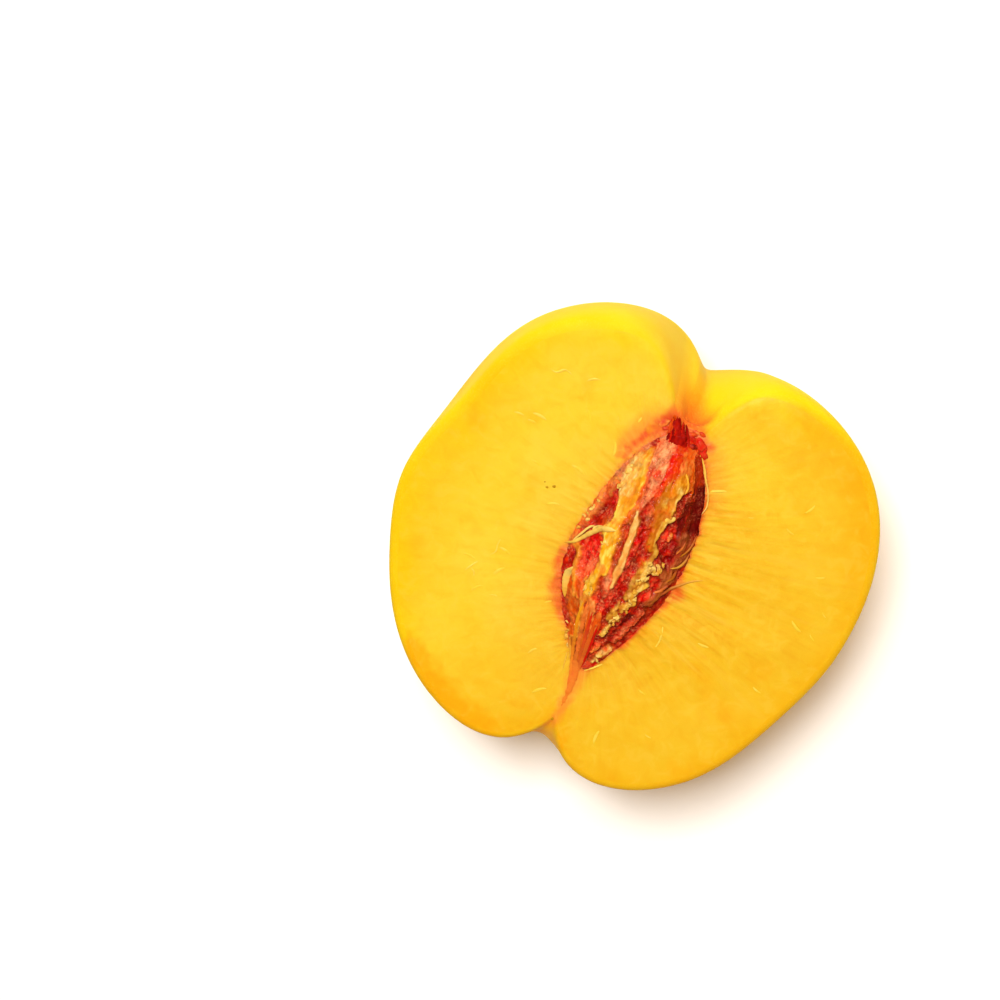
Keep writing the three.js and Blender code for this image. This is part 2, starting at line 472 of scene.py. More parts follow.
STONE_STROKES = tuple(Stroke(*row) for row in (
    # Broad grounds: deep red down the right, orange red towards the tip on the left.
    (((4.6, 13), (5.2, 6), (5.4, 0), (4.4, -7), (2.4, -14)),
     (2.2, 3, 2.8, 1.6), "pulp_dark", -1, 0.8, 0.6, 0.6),
    (((-6.6, -6.5), (-6, -8.5), (-5, -10.7), (-3.8, -12.9), (-2.6, -16.5)),
     (1, 1.5, 1.3, 1, 0.8), "orange_red", -0.35, 0.35, 0.7, 0.6),
    (((-0.4, 18.6), (0.2, 15)), (2.2, 1.6), "wet_red", -0.3, 0.3, 0.8),
    # Pits down the left side, and the pale granular rim outside them.
    (((-7, 8.8), (-7.3, 6.2), (-7.6, 4.4), (-7.9, 2.9), (-8.1, 1.7)),
     (0.7, 1.3, 1.4, 1.1, 0.6), "pit_red", -1.1, 1, 0.8),
    (((-7.2, 5.2), (-7.6, 3.6), (-7.9, 2.3)), (0.8, 0.9, 0.5), "pit_deep", -1.3, 0.7, 0.8, 0.6, 0.8),
    (((-6.1, 0.4), (-6.5, -1.2), (-6.5, -2.8), (-5.9, -4.4)), (1, 1.3, 1.2, 0.8), "pit_red", -1.2, 1, 0.8),
    (((-5.4, -2.6), (-5.7, -4), (-6, -5.6)), (0.6, 0.8, 0.6), "pink_red", -1, 1, 0.8, 0.6),
    (((-9, -3.2), (-8.7, -5.2), (-8.5, -7.4)), (0.4, 0.6, 0.5), "pit_deep", -0.5, 0.9, 0.7),
    (((-7.4, 9.4), (-7.8, 7.4), (-8.3, 5.5), (-8.8, 3.8), (-9.1, 1.5), (-9.3, -0.8), (-9.2, -2.8)),
     (0.3, 0.6, 0.6, 0.5, 0.4), "rim_orange", -0.05, 0.9),
    (((-8.4, -2.2), (-7.8, -4.4), (-7.4, -6), (-6.6, -7.4), (-5.7, -9)),
     (0.45, 0.4, 0.35, 0.25), "orange", 0, 0.3, 0.6),
    # Flesh left on the upper left, with its cream side.
    (((-4.5, 15.2), (-5.1, 12.9), (-5.1, 10.4), (-4.9, 8.2), (-4.8, 6.4), (-5, 4.4), (-5.2, 2.6)),
     (1, 1.7, 1.6, 1.3, 1.1, 1, 1.2), "yellow", -0.05, 0.15, 0.5, 0.35),
    (((-5.6, 13.9), (-6.3, 12), (-6.5, 10), (-6.1, 8.4)),
     (0.7, 0.9, 0.8, 0.5), "cream", 0.05, 0.4, 0.4, 0.8, 0.9),
    (((-4.3, 10.6), (-4.2, 8.4), (-4.3, 6.2), (-4.5, 4.6)),
     (0.5, 0.7, 0.6, 0.4), "deep_yellow", -0.1, 0.15, 0.6, 0.8, 0.9),
    (((-5.5, 10.4), (-5.3, 8.6)), (0.5, 0.4), "cream", 0, 0.1, 0.5, 0.9, 0.6),
    (((-3.7, 13.4), (-3.6, 10.6), (-3.6, 8.2), (-3.9, 6.2), (-4.1, 4.6)),
     (0.22, 0.3, 0.25, 0.2), "orange_red", -0.35, 0.5, 0.7, 0.6),
    # Keel, granular and pink above, with a smooth pale ridge in the middle.
    (((-3.4, 18.6), (-3.1, 16.5), (-2.9, 14.4), (-2.8, 12.8)),
     (1.1, 1.2, 1.1, 1), "pink", 0.05, 0.8, 0.4, 0.35),
    (((-2.8, 13.2), (-2.7, 10.9), (-2.8, 8.8), (-2.9, 7.2)), (0.9, 0.75, 0.5, 0.3), "pink_red", 0, 0.9, 0.6),
    (((-2.8, 12.4), (-2.6, 10.4), (-2.8, 8.6)), (0.5, 0.4, 0.2), "pink", 0.1, 0.9, 0.5, 0.7, 0.8),
    (((-3, -1.5), (-2.8, -2.7), (-2.6, -4.4), (-2.2, -6)), (0.8, 0.9, 0.9, 0.7), "pink_red", -0.2, 1, 0.6),
    (((-2.7, -3.6), (-2.4, -5.4)), (0.5, 0.4), "pink", -0.05, 0.9, 0.5, 0.8, 0.7),
    (((-3, 7.2), (-2.7, 5.7), (-2.6, 4.4), (-2.4, 3.1), (-2.2, 2), (-2.1, 0.6), (-2, -0.6), (-1.9, -2.1),
      (-1.8, -4.2)), (0.35, 0.6, 0.55, 0.5, 0.5, 0.5, 0.45, 0.3), "pale_ridge", 0.2, 0.08, 0.5, 0.3),
    # Red strips to the right of the keel, smooth above and granular below.
    (((-1.2, 18), (-1, 16), (-1.1, 13.8), (-1.5, 12.2)), (0.6, 0.8, 0.65, 0.4), "wet_red", -0.3, 0.25, 0.9),
    (((-1.4, 12.2), (-1.2, 10.4), (-1.5, 8.6), (-1.5, 7), (-1.3, 5.6)),
     (0.6, 0.7, 0.75, 0.6), "pit_red", -0.5, 1, 0.8),
    (((-1.3, 8.2), (-1.4, 6.6)), (0.5, 0.4), "pink_red", -0.2, 1, 0.6, 0.8, 0.8),
    (((-0.7, 5.2), (-0.5, 2.9), (-0.2, 1), (-0.3, -0.9)), (0.6, 0.8, 0.8, 0.6), "pit_deep", -1.1, 0.9, 0.9),
    (((-1.1, 3.6), (-1.2, 1.4), (-1.1, -0.4)), (0.35, 0.35, 0.3), "pit_red", -0.5, 1, 0.8),
    (((-0.9, -1.6), (-0.9, -4.2), (-1.1, -6.6), (-1.5, -8.6)),
     (0.6, 0.7, 0.7, 0.5), "pit_red", -0.7, 1, 0.8),
    (((-0.2, -2.2), (0, -5), (-0.4, -8.4)), (0.4, 0.5, 0.4), "pit_deep", -1, 0.9, 0.8),
    (((-3.7, 4.4), (-3.7, 3), (-3.4, 1.8), (-3.2, 0.6)), (0.45, 0.65, 0.65, 0.4), "pit_red", -0.9, 1, 0.9),
    # Flesh on the upper right, brown where it is thin, under the smooth wall, with painted shade for the
    # wall and the gap beside it.
    (((0.6, 17.4), (1.4, 15.6), (2.6, 13.8), (3.4, 12.2)),
     (1, 1.4, 1.2, 0.7), "orange_red", -0.4, 0.3, 0.8, 0.6),
    (((0.4, 16.4), (0.6, 14.8)), (0.5, 0.4), "rim_orange", -0.3, 0.3, 0.7, 0.8),
    # Painted shade: the hollow's shaded wall as a dark red band on the stone.
    (((2.6, 17), (3.9, 14.9), (4.9, 12.6), (5.4, 10.6)),
     (0.6, 1.1, 1.1, 0.8), "dark_wall", -0.9, 0.45, 0.7, 0.8),
    (((1.2, 13.9), (1.1, 12.6), (1, 11.2), (0.7, 10), (0.6, 8.9), (0.6, 7.2)),
     (0.8, 1.3, 1.6, 1.6, 1.4, 1), "amber", -0.1, 0.15, 0.6, 0.6),
    (((-0.5, 13), (-0.5, 11.2), (-0.4, 9.4), (-0.1, 7.6)),
     (0.4, 0.7, 0.6, 0.4), "brown_orange", -0.15, 0.2, 0.7, 0.8),
    (((1.3, 12.8), (1.6, 11.6), (1.5, 10.6)), (0.3, 0.5, 0.3), "olive", -0.05, 0.1, 0.6, 0.95, 0.8),
    (((1.6, 9.6), (1.7, 8.2)), (0.4, 0.4), "olive", -0.05, 0.2, 0.6, 0.95, 0.7),
    (((0, 10.8), (0.2, 9.2)), (0.3, 0.3), "olive", -0.1, 0.1, 0.6, 0.95, 0.6),
    (((0.5, 8), (0.6, 6.4), (0.8, 4.8), (1.1, 3.2)), (0.9, 0.9, 0.8, 0.6), "brown_orange", -0.1, 0.25, 0.6),
    (((1, 7.4), (1.1, 5.6), (1.4, 4)), (0.45, 0.4, 0.3), "olive", -0.02, 0.3, 0.6, 0.8, 0.8),
    # Painted shadow: a maroon band in the gap between the stone and the flesh at the right.
    (((5.3, 12.6), (5.9, 9.6), (6.3, 6.6)), (0.9, 1.1, 0.8), "maroon", -1.2, 0.45, 0.7, 0.9),
    # Dark pits on the right, with the flap beside them.
    (((2.9, 12), (2.6, 10.7), (3.2, 9.5)), (0.6, 0.8, 0.7), "pit_deep", -1.2, 1, 0.8),
    (((4.3, 10.2), (4.2, 8.2), (4.5, 6.3)), (0.7, 0.9, 0.8), "maroon", -1.4, 0.7, 0.7, 0.8),
    (((3.4, 9.8), (3.6, 8.6)), (0.4, 0.4), "pink_red", -1.1, 1, 0.8, 0.9, 0.5),
    (((2.7, 7), (3.1, 4.6), (3.5, 2.6), (4.3, 1.3)), (1, 1.4, 1.2, 0.8), "pit_deep", -1.7, 1, 0.8),
    (((2.6, 6.4), (2.8, 4.6), (3.2, 3)), (0.5, 0.7, 0.5), "pit_red", -1.5, 1, 0.9, 0.8, 0.7),
    (((3.7, 5.3), (3.8, 4.8)), (0.3, 0.25), "rim_orange", -0.9, 0.8, 0.7, 0.8),
    (((5.6, 5.2), (6.7, 3.9), (6.9, 2.2), (6.2, 0.9)), (1, 1.3, 1.3, 1), "mauve", -0.5, 0.4, 0.7),
    (((4.6, -0.4), (5.4, -0.6), (6.3, -1.6), (5.5, -2.6)), (0.7, 0.9, 1, 0.8), "brown", -0.3, 0.3, 0.7, 0.6),
    (((4.1, -1.8), (3.8, -3.2), (3.9, -4.9)), (0.8, 0.95, 0.8), "pit_red", -1.1, 1, 0.9),
    (((5.6, -4.2), (5.2, -5.8)), (0.8, 0.7), "brown", -0.4, 0.3, 0.8, 0.6),
    (((4.1, -7.2), (3.1, -8.7), (2.6, -11.2), (2.3, -13.4), (1.9, -15.3)),
     (0.9, 1, 0.9, 0.8, 0.5), "pit_deep", -0.9, 0.9, 0.7),
    (((3.3, -8.6), (2.8, -10.4)), (0.5, 0.4), "maroon", -1.2, 0.6, 0.7, 0.6),
    (((4.6, -7.6), (4.1, -9.4), (3.7, -11.5), (3.1, -13.8)),
     (0.4, 0.5, 0.45, 0.35), "pink_red", -0.3, 1, 0.7, 0.6),
    # Ragged flesh down the right.
    (((1.1, -0.6), (1, -2.9), (1.1, -5.4)), (0.3, 0.5, 0.3), "olive_dark", -0.1, 0.5, 0.5, 0.6),
    (((0.6, -6.4), (0.3, -8.2), (-0.1, -9.8)), (0.3, 0.5, 0.3), "olive_dark", -0.1, 0.5, 0.5, 0.6),
    (((1.8, 3.7), (2.1, 2.4), (1.9, 1.4)), (0.35, 0.5, 0.4), "olive_dark", -0.05, 0.3, 0.5, 0.6),
    (((1.5, 0.9), (2.1, -0.1), (1.7, -1.4)), (0.5, 0.8, 0.5), "olive", 0.08, 0.3, 0.45, 0.6),
    (((2.6, 0.4), (3.2, -0.3)), (0.4, 0.35), "olive", 0.05, 0.3, 0.45, 0.7),
    (((2.2, -2), (1.6, -3)), (0.45, 0.5), "olive_dark", -0.05, 0.3, 0.5, 0.6),
    (((3, -2.4), (2.2, -3.6), (1.6, -4.7)), (0.45, 0.6, 0.5), "olive", 0.08, 0.3, 0.45, 0.6),
    (((2, -5.2), (2.3, -6), (1.5, -6.6)), (0.5, 0.7, 0.4), "olive", 0.05, 0.3, 0.45, 0.6),
    (((1, -6.9), (1.4, -7.8)), (0.4, 0.35), "olive_dark", -0.05, 0.3, 0.5, 0.6),
    (((0.7, -8.4), (1.2, -9.2), (0.5, -10)), (0.35, 0.6, 0.35), "olive", 0.05, 0.3, 0.45, 0.6),
    (((0.9, -10.6), (0.4, -11.6), (0.6, -12.6)), (0.3, 0.4, 0.25), "olive", 0, 0.3, 0.45, 0.6),
    (((3.4, 1.4), (3.8, 0.6), (3.6, -0.2)), (0.35, 0.4, 0.3), "mauve", 0, 0.5, 0.5, 0.7),
    # Flesh down the left, with its bright lump, and the strands that leave it for the tip.
    (((-5.2, 2.8), (-4.9, 1.9), (-4.6, 0.7), (-4.4, -0.6), (-4.1, -1.6), (-3.9, -2.9)),
     (1.3, 1.1, 0.9, 0.8, 0.7), "yellow", 0.05, 0.15, 0.6, 0.4),
    (((-4.4, -2.7), (-4.5, -4.2), (-4.5, -5.9), (-4.4, -7.4), (-4.2, -9.7), (-3.3, -12.6), (-2.7, -15.1)),
     (0.7, 0.75, 0.9, 0.6, 0.5, 0.45, 0.3), "orange", 0.05, 0.2, 0.6, 0.45),
    (((-4.5, -3.6), (-4.4, -5.9), (-4.5, -7.2)), (0.4, 0.75, 0.4), "yellow", 0.15, 0.2, 0.6, 0.6),
    (((-3.5, -8.1), (-2.7, -10.7), (-1.7, -13.2), (-1.1, -15.8), (-0.7, -19.1)),
     (0.4, 0.5, 0.5, 0.45), "strand", 0.1, 0.1, 0.7),
    (((-1.6, -9), (-1.3, -10.2), (-0.8, -12.8), (-0.3, -16.1), (-0.2, -18.7)),
     (0.4, 0.6, 0.6, 0.5), "wet_red", -0.15, 0.3, 0.8),
    (((-3.1, -8), (-2.4, -10.5), (-1.5, -13.3), (-0.9, -16.7)),
     (0.35, 0.5, 0.45, 0.3), "strand", -0.05, 0.25, 0.6, 0.6),
    (((-1.6, -9.1), (-0.7, -12.2), (-0.3, -15.5)), (0.3, 0.4, 0.3), "orange_red", -0.2, 0.3, 0.6, 0.6),
    # Pale shreds low on the right and on the left.
    (((3.1, -15.2), (2.5, -16.3), (1.9, -17.1), (1.2, -18.2)),
     (0.35, 0.45, 0.4, 0.3), "pale_ridge", 0, 0.6, 0.5, 0.7, 0.85),
    (((0.9, -15.2), (0.4, -16.6)), (0.35, 0.3), "rim_orange", 0, 0.6, 0.6, 0.6),
    (((-2.9, -15.8), (-2.1, -18.1), (-1, -19.6)), (0.4, 0.35), "orange", 0, 0.4, 0.5, 0.6),
    # Granular pink edge along the upper left, with two dark places beside it.
    (((-3.4, 18.6), (-5.2, 16.8), (-6.4, 14.4), (-7, 12.4), (-7.3, 10.2)),
     (0.6, 0.5, 0.45, 0.5), "pink", -0.05, 0.9, 0.6),
    (((-6.7, 12.9), (-6.2, 14)), (0.32, 0.28), "pit_deep", -0.5, 0.6, 0.6, 0.8, 0.9),
    (((-5, 16.3), (-4.2, 17.2)), (0.26, 0.22), "pit_deep", -0.5, 0.6, 0.6, 0.8, 0.9),
))

# Path, half widths, tone, softness and cover of the strokes on the face, which have no relief.
FACE_STROKES = tuple(Stroke(*row[:3], soft=row[3], cover=row[4]) for row in (
    (((-24.8, -27.1), (-21.6, -29.8), (-17.6, -32.7), (-13.5, -34.3), (-8.8, -35.2)),
     (1.2, 2.1, 2.3, 1.8), "patch", 0.7, 0.85),
    (((-15.4, -33.8), (-11.3, -34.8), (-8, -35)), (1.2, 1.4), "patch", 0.8, 0.4),
    (((25, 24), (27.6, 20), (29.6, 15), (30, 10)), (2.4, 3, 1.4), "patch", 0.9, 0.45),
    (((6.5, 25), (12.5, 25.5), (18.5, 22.5)), (2.5, 4, 3.5), "patch", 1, 0.4),
    (((12.5, 30), (19.5, 27.5), (24, 23.5)), (1.8, 3, 2.8), "patch", 0.9, 0.6),
    (((-3.6, 20.8), (-6, 18.6), (-7.9, 15.6), (-8.6, 12.6)),
     (1.9, 1.9, 1.3, 0.6), "halo_orange", 0.95, 0.75),
    (((-3.4, 19.4), (-5.2, 19), (-6.4, 16.4), (-7.4, 14)), (0.9, 0.8, 0.6, 0.4), "pink_red", 0.95, 0.8),
    (((-4, 18.8), (-5.7, 17.4), (-6.9, 15), (-7.6, 12.6)), (0.6, 0.6, 0.5, 0.3), "halo_red", 0.95, 0.7),
    (((-6, 19.6), (-5.4, 18.2)), (0.4, 0.5), "patch", 0.9, 0.5),
    (((-4.6, 20.4), (-5.2, 19.2)), (0.8, 0.9), "pink_red", 0.95, 0.6),
    (((3.2, 19), (5, 16.6), (6.6, 13.4), (7.4, 10.6)), (1.2, 1.5, 1), "halo_orange", 0.95, 0.3),
    (((-9.5, -4.2), (-9.3, -6.6), (-8.5, -8.8)), (0.5, 0.8, 0.6), "halo_red", 0.95, 0.85),
    (((-8.3, -9.9), (-7.3, -11.6), (-6, -13.6)), (0.9, 1, 0.7), "halo_red", 0.95, 0.75),
    (((7.2, -1.6), (8.1, -3.4), (7, -5.6)), (0.7, 1.1, 0.7), "halo_red", 0.95, 0.75),
    (((5, -12.4), (4, -14.6)), (0.6, 0.6), "halo_red", 0.95, 0.5),
    (((0.2, -19.4), (0.4, -24), (0.3, -27.6), (0, -31)), (1.4, 1, 0.7, 0.8), "halo_orange", 0.9, 0.75),
    (((-3.4, 20.6), (-1.6, 20.2), (0.9, 19.4), (2.4, 18.6)), (1.5, 1.4, 1.2, 1), "halo_red", 0.85, 0.95),
    (((1, -31.8), (3, -33)), (1, 0.6), "patch", 0.8, 0.8),
))

# How wide the red margin of the flesh is round the stone, by turn from the stem end: radians, mm.
MARGIN_TURNS = (0.0, 0.5, 1.0, 1.6, 2.2, 2.9, 3.3, 3.8, 4.3, 4.8, 5.4, 5.9, math.tau)
MARGIN_WIDTHS = (2.0, 0.8, 0.5, 0.4, 0.8, 0.7, 0.8, 1.1, 1.0, 0.5, 0.8, 1.6, 2.0)


def margin_width(x, y):
    """Width of the red margin on the side of the stone where a point lies."""
    return np.interp(np.arctan2(x, y) % math.tau, MARGIN_TURNS, MARGIN_WIDTHS)


# ---- Settings that a user would change ----

class PeachFleshSettings(bpy.types.PropertyGroup):
    skin_thickness: bpy.props.FloatProperty(
        name="Skin thickness", description="Thickness of the skin, and the least radius of the edge",
        default=0.3 * MM, unit="LENGTH")
    edge_round: bpy.props.FloatProperty(
        name="Edge rounding", description="Radius of the edge between cut face and skin",
        default=1.5 * MM, unit="LENGTH")
    waviness: bpy.props.FloatProperty(
        name="Knife waviness", description="Height of the slow waves that the knife left",
        default=0.14 * MM, unit="LENGTH")
    fold_height: bpy.props.FloatProperty(
        name="Fold height", description="Height of the radial folds in the flesh beside the stone",
        default=0.36 * MM, unit="LENGTH")
    fibre_height: bpy.props.FloatProperty(
        name="Fibre height", description="Height of the fine radial fibres in the cut face",
        default=0.045 * MM, unit="LENGTH")
    translucency: bpy.props.FloatProperty(
        name="Translucency", description="Share of the light that spreads under the surface",
        default=0.35, min=0.0, max=1.0, subtype="FACTOR")


class PeachStoneSettings(bpy.types.PropertyGroup):
    pit_scale: bpy.props.FloatProperty(
        name="Pit scale", description="Depth of the pits, as a share of their real depth",
        default=0.85, min=0.0, max=2.0, subtype="FACTOR")
    grain_height: bpy.props.FloatProperty(
        name="Grain height", description="Height of the grains in the pits",
        default=0.2 * MM, unit="LENGTH")
    ragged: bpy.props.FloatProperty(
        name="Ragged edges", description="How far the edges of flesh and pits wander",
        default=0.34 * MM, unit="LENGTH")


class PeachFibreSettings(bpy.types.PropertyGroup):
    count: bpy.props.IntProperty(
        name="Face fibres", description="About how many fine fibres stand out of the cut face",
        default=46, min=0)
    length: bpy.props.FloatProperty(
        name="Fibre length", description="Length of a fine fibre", default=2.2 * MM, unit="LENGTH")
    thickness: bpy.props.FloatProperty(
        name="Fibre thickness", description="Diameter of a fine fibre", default=0.42 * MM, unit="LENGTH")
    crumb_size: bpy.props.FloatProperty(
        name="Crumb size", description="Diameter of the crumbs of flesh on the stone",
        default=0.62 * MM, unit="LENGTH")
    seed: bpy.props.IntProperty(name="Seed", description="Seed of the scatter", default=7)


class PeachStageSettings(bpy.types.PropertyGroup):
    floor_colour: bpy.props.FloatVectorProperty(
        name="Floor colour", description="Colour of the floor", subtype="COLOR", size=3,
        min=0.0, max=1.0, default=(0.95, 0.95, 0.945))
    floor_half: bpy.props.FloatProperty(
        name="Floor half width", description="Half the side of the floor", default=3.0, unit="LENGTH")
    key_power: bpy.props.FloatProperty(
        name="Key light", description="Power of the large soft light", default=45.2, unit="POWER")
    fill_strength: bpy.props.FloatProperty(
        name="Fill strength", description="Strength of the warm white surroundings", default=0.08)
    warm_power: bpy.props.FloatProperty(
        name="Warm light", description="Power of the warm light from the low side",
        default=10.4, unit="POWER")
    floor_glow: bpy.props.FloatProperty(
        name="Floor glow", description="Light that the floor passes up", default=0.05)
    camera_distance: bpy.props.FloatProperty(
        name="Camera distance", description="Distance from the camera to the cut face",
        default=402.5 * MM, unit="LENGTH")
    focal_length: bpy.props.FloatProperty(
        name="Focal length", description="Focal length of the lens in millimetres", default=100.0)


class PeachSettings(bpy.types.PropertyGroup):
    flesh: bpy.props.PointerProperty(type=PeachFleshSettings)
    stone: bpy.props.PointerProperty(type=PeachStoneSettings)
    fibres: bpy.props.PointerProperty(type=PeachFibreSettings)
    stage: bpy.props.PointerProperty(type=PeachStageSettings)


# ---- Node trees ----

class Wire:
    """An output socket whose arithmetic adds Math nodes to its tree."""

    def __init__(self, tree, socket):
        self.tree = tree
        self.socket = socket

    def _with(self, operation, *values):
        return self.tree.wire("ShaderNodeMath", {"operation": operation}, dict(enumerate(values)))

    def __add__(self, other):
        return self._with("ADD", self, other)

    def __sub__(self, other):
        return self._with("SUBTRACT", self, other)

    def __rsub__(self, other):
        return self._with("SUBTRACT", other, self)

    def __mul__(self, other):
        return self._with("MULTIPLY", self, other)

    __radd__ = __add__
    __rmul__ = __mul__

    def clamped(self, low, high):
        """This value brought from low..high to 0..1 and held there."""
        sockets = {0: self, 1: low, 2: high, 3: 0.0, 4: 1.0}
        return self.tree.wire("ShaderNodeMapRange", {"clamp": True}, sockets)


class Tree:
    """A node tree under construction. Node kinds may be named without the tree's own prefix."""

    def __init__(self, nodes_owner, prefix="ShaderNode"):
        self.tree = nodes_owner
        self.prefix = prefix

    def add(self, kind, settings=None, sockets=None):
        node = self.tree.nodes.new(kind if "Node" in kind else self.prefix + kind)
        for name, value in (settings or {}).items():
            setattr(node, name, value)
        for name, value in (sockets or {}).items():
            if isinstance(value, Wire):
                self.tree.links.new(value.socket, node.inputs[name])
            else:
                node.inputs[name].default_value = value
        return node

    def wire(self, kind, settings=None, sockets=None, output=0):
        return Wire(self, self.add(kind, settings, sockets).outputs[output])

    def blend(self, share, first, second, kind="MIX"):
        """One colour passing into another."""
        settings = {"data_type": "RGBA", "blend_type": kind}
        return self.wire("Mix", settings, {0: share, 6: first, 7: second}, output=2)

    def shade(self, share, colour, factors):
        """A colour multiplied by factors where share is high."""
        return self.blend(share, colour, four(factors), "MULTIPLY")

    def noise(self, where, scale, detail=2.0, rough=0.5, distortion=0.0):
        sockets = {"Vector": where, "Scale": scale, "Detail": detail, "Roughness": rough}
        return self.wire("TexNoise", None, {**sockets, "Distortion": distortion})

    def stretched(self, where, factors):
        return self.wire("VectorMath", {"operation": "MULTIPLY"}, {0: where, 1: factors})

    def attribute(self, name, output="Color"):
        """A value that the mesh carries at its points."""
        settings = {"attribute_type": "GEOMETRY", "attribute_name": name}
        return self.wire("Attribute", settings, output=output)

    def bump(self, height, strength, distance):
        sockets = {"Height": height, "Strength": strength, "Distance": distance}
        return self.wire("Bump", None, sockets)


def four(colour):
    """A colour with full alpha, as sockets take it."""
    return (*(float(part) for part in colour), 1.0)


def new_material(name):
    material = bpy.data.materials.new(name)
    material.use_nodes = True
    material.node_tree.nodes.clear()
    return material, Tree(material.node_tree)


def finish_material(tree, **sockets):
    """Closes a material with a Principled shader. Socket names have _ for a space."""
    named = {name.replace("_", " "): value for name, value in sockets.items()}
    shader = tree.add("BsdfPrincipled", None, named)
    output = tree.add("OutputMaterial")
    tree.tree.links.new(shader.outputs[0], output.inputs["Surface"])


def grainy(tree, here, colour, grain):
    """A colour broken up, where grain is high, by dark pores in the grit's dips, partly painted shade, and
    pale specks that are painted wet glints, and their height.
    """
    grit = tree.noise(here, 2300.0, 3.0, 0.7, 0.4)
    specks = tree.noise(here, 2900.0, 3.0, 0.7, 0.6)
    zones = tree.noise(here, 520.0, 3.0, 0.6)
    # Dark pores in the grit's dips: partly the pulp's deeper red, partly painted shade.
    colour = tree.shade(grit.clamped(0.5, 0.36) * grain * 0.5, colour, (0.5, 0.16, 0.12))
    # Painted highlights: pale pink specks standing in for wet glints.
    glints = specks.clamped(0.48, 0.64) * zones.clamped(0.46, 0.6) * grain
    colour = tree.blend(glints * 0.95, colour, four(TONES["glint"]))
    return colour, grit * grain + glints * 0.6


def cut_flesh_material(settings):
    """Moist cut flesh: soft mottling, faint radial streaks with painted shade and highlight on their relief,
    and a torn granular margin.
    """
    material, tree = new_material("cut_flesh")
    here = tree.wire("TexCoord", output="Object")
    fan = tree.attribute("fan", "Vector")
    tone = tree.attribute("tone")
    clouds = tree.noise(here, 160.0, 3.0, 0.55)
    blotches = tree.noise(here, 420.0, 3.0, 0.6, 0.8)
    cells = tree.noise(here, 1100.0, 2.0, 0.6)
    streaks = tree.noise(tree.stretched(fan, (17.0, 17.0, 0.08)), 1.0, 2.0, 0.5, 0.12)
    fine = tree.noise(tree.stretched(fan, (42.0, 42.0, 0.12)), 1.0, 2.0, 0.5, 0.12)
    near = tree.attribute("near", "Fac") * blotches.clamped(0.3, 0.6)
    colour = tree.shade(clouds.clamped(0.42, 0.66) * 0.3, tone, (0.99, 0.88, 0.5))
    colour = tree.shade(blotches.clamped(0.5, 0.68) * 0.4, colour, (0.98, 0.86, 0.5))
    colour = tree.blend(blotches.clamped(0.47, 0.34) * 0.18, colour, four(TONES["mark"]))
    # Radial streaks and fine fibres, darker in their grooves and paler on their crests: partly their own
    # tone, partly painted shade and highlight.
    colour = tree.shade(streaks.clamped(0.5, 0.66) * near * 0.4, colour, (0.93, 0.74, 0.4))
    colour = tree.shade(fine.clamped(0.5, 0.64) * near * 0.65, colour, (0.94, 0.75, 0.4))
    colour = tree.blend(streaks.clamped(0.46, 0.32) * near * 0.4, colour, four(TONES["mark"]))
    colour, grain_height = grainy(tree, here, colour, tree.attribute("raw", "Fac"))
    height = streaks * near * -1.0 + fine * near * -0.7 + cells * 0.15 + blotches * 0.7 + grain_height
    finish_material(
        tree, Base_Color=colour, Roughness=0.42 + 0.16 * cells, Normal=tree.bump(height, 0.5, 0.00012),
        IOR=1.38, Specular_IOR_Level=0.22, Subsurface_Weight=settings.translucency,
        Subsurface_Radius=(1.0, 0.6, 0.2), Subsurface_Scale=0.0007)
    return material


def skin_material(settings):
    """Thin velvety skin: slow mottling, tiny pale dots and a soft sheen."""
    material, tree = new_material("skin")
    here = tree.wire("TexCoord", output="Object")
    tone = tree.attribute("tone")
    clouds = tree.noise(here, 90.0, 3.0, 0.5)
    patches = tree.noise(here, 420.0, 3.0, 0.6)
    down = tree.noise(here, 3600.0, 2.0, 0.65)
    colour = tree.shade(clouds.clamped(0.4, 0.7) * 0.35, tone, (1.0, 0.74, 0.3))
    colour = tree.blend(patches.clamped(0.5, 0.72) * 0.15, colour, four((0.82, 0.66, 0.04)))
    colour = tree.blend(down.clamped(0.52, 0.72) * 0.12, colour, four((0.86, 0.72, 0.12)))
    height = down * 0.8 + patches * 0.5
    finish_material(
        tree, Base_Color=colour, Roughness=0.55 + 0.12 * down, Normal=tree.bump(height, 0.3, 0.00008),
        IOR=1.4, Specular_IOR_Level=0.08, Subsurface_Weight=0.8 * settings.translucency,
        Subsurface_Radius=(1.0, 0.6, 0.2), Subsurface_Scale=0.0006,
        Sheen_Weight=0.06, Sheen_Roughness=0.4, Sheen_Tint=four((1.0, 0.8, 0.2)))
    return material


def stone_material():
    """Wet granular stone, with the tone, grain and wetness that its mesh carries."""
    material, tree = new_material("stone_pulp")
    here = tree.wire("TexCoord", output="Object")
    grain = tree.attribute("grain", "Fac")
    wet = tree.attribute("wet", "Fac")
    patches = tree.noise(here, 1300.0, 3.0, 0.6, 0.5)
    fibres = tree.noise(tree.stretched(here, (1.0, 0.22, 1.0)), 2400.0, 3.0, 0.6, 0.6)
    colour = tree.shade(patches.clamped(0.5, 0.68) * 0.35, tree.attribute("tone"), (0.8, 0.55, 0.4))
    # Fleshy streaks, darker in their troughs and paler on their crests: partly their own tone, partly
    # painted shade and highlight.
    colour = tree.shade(fibres.clamped(0.5, 0.3) * 0.5, colour, (0.85, 0.6, 0.4))
    colour = tree.shade(fibres.clamped(0.54, 0.7) * 0.5, colour, (1.15, 1.35, 1.5))
    colour, grain_height = grainy(tree, here, colour, grain)
    height = grain_height + fibres * 0.4
    finish_material(
        tree, Base_Color=colour, Roughness=0.66 - 0.4 * wet, Normal=tree.bump(height, 0.8, 0.00018),
        IOR=1.38, Specular_IOR_Level=0.14, Coat_Weight=wet * 0.12, Coat_Roughness=0.08)
    return material


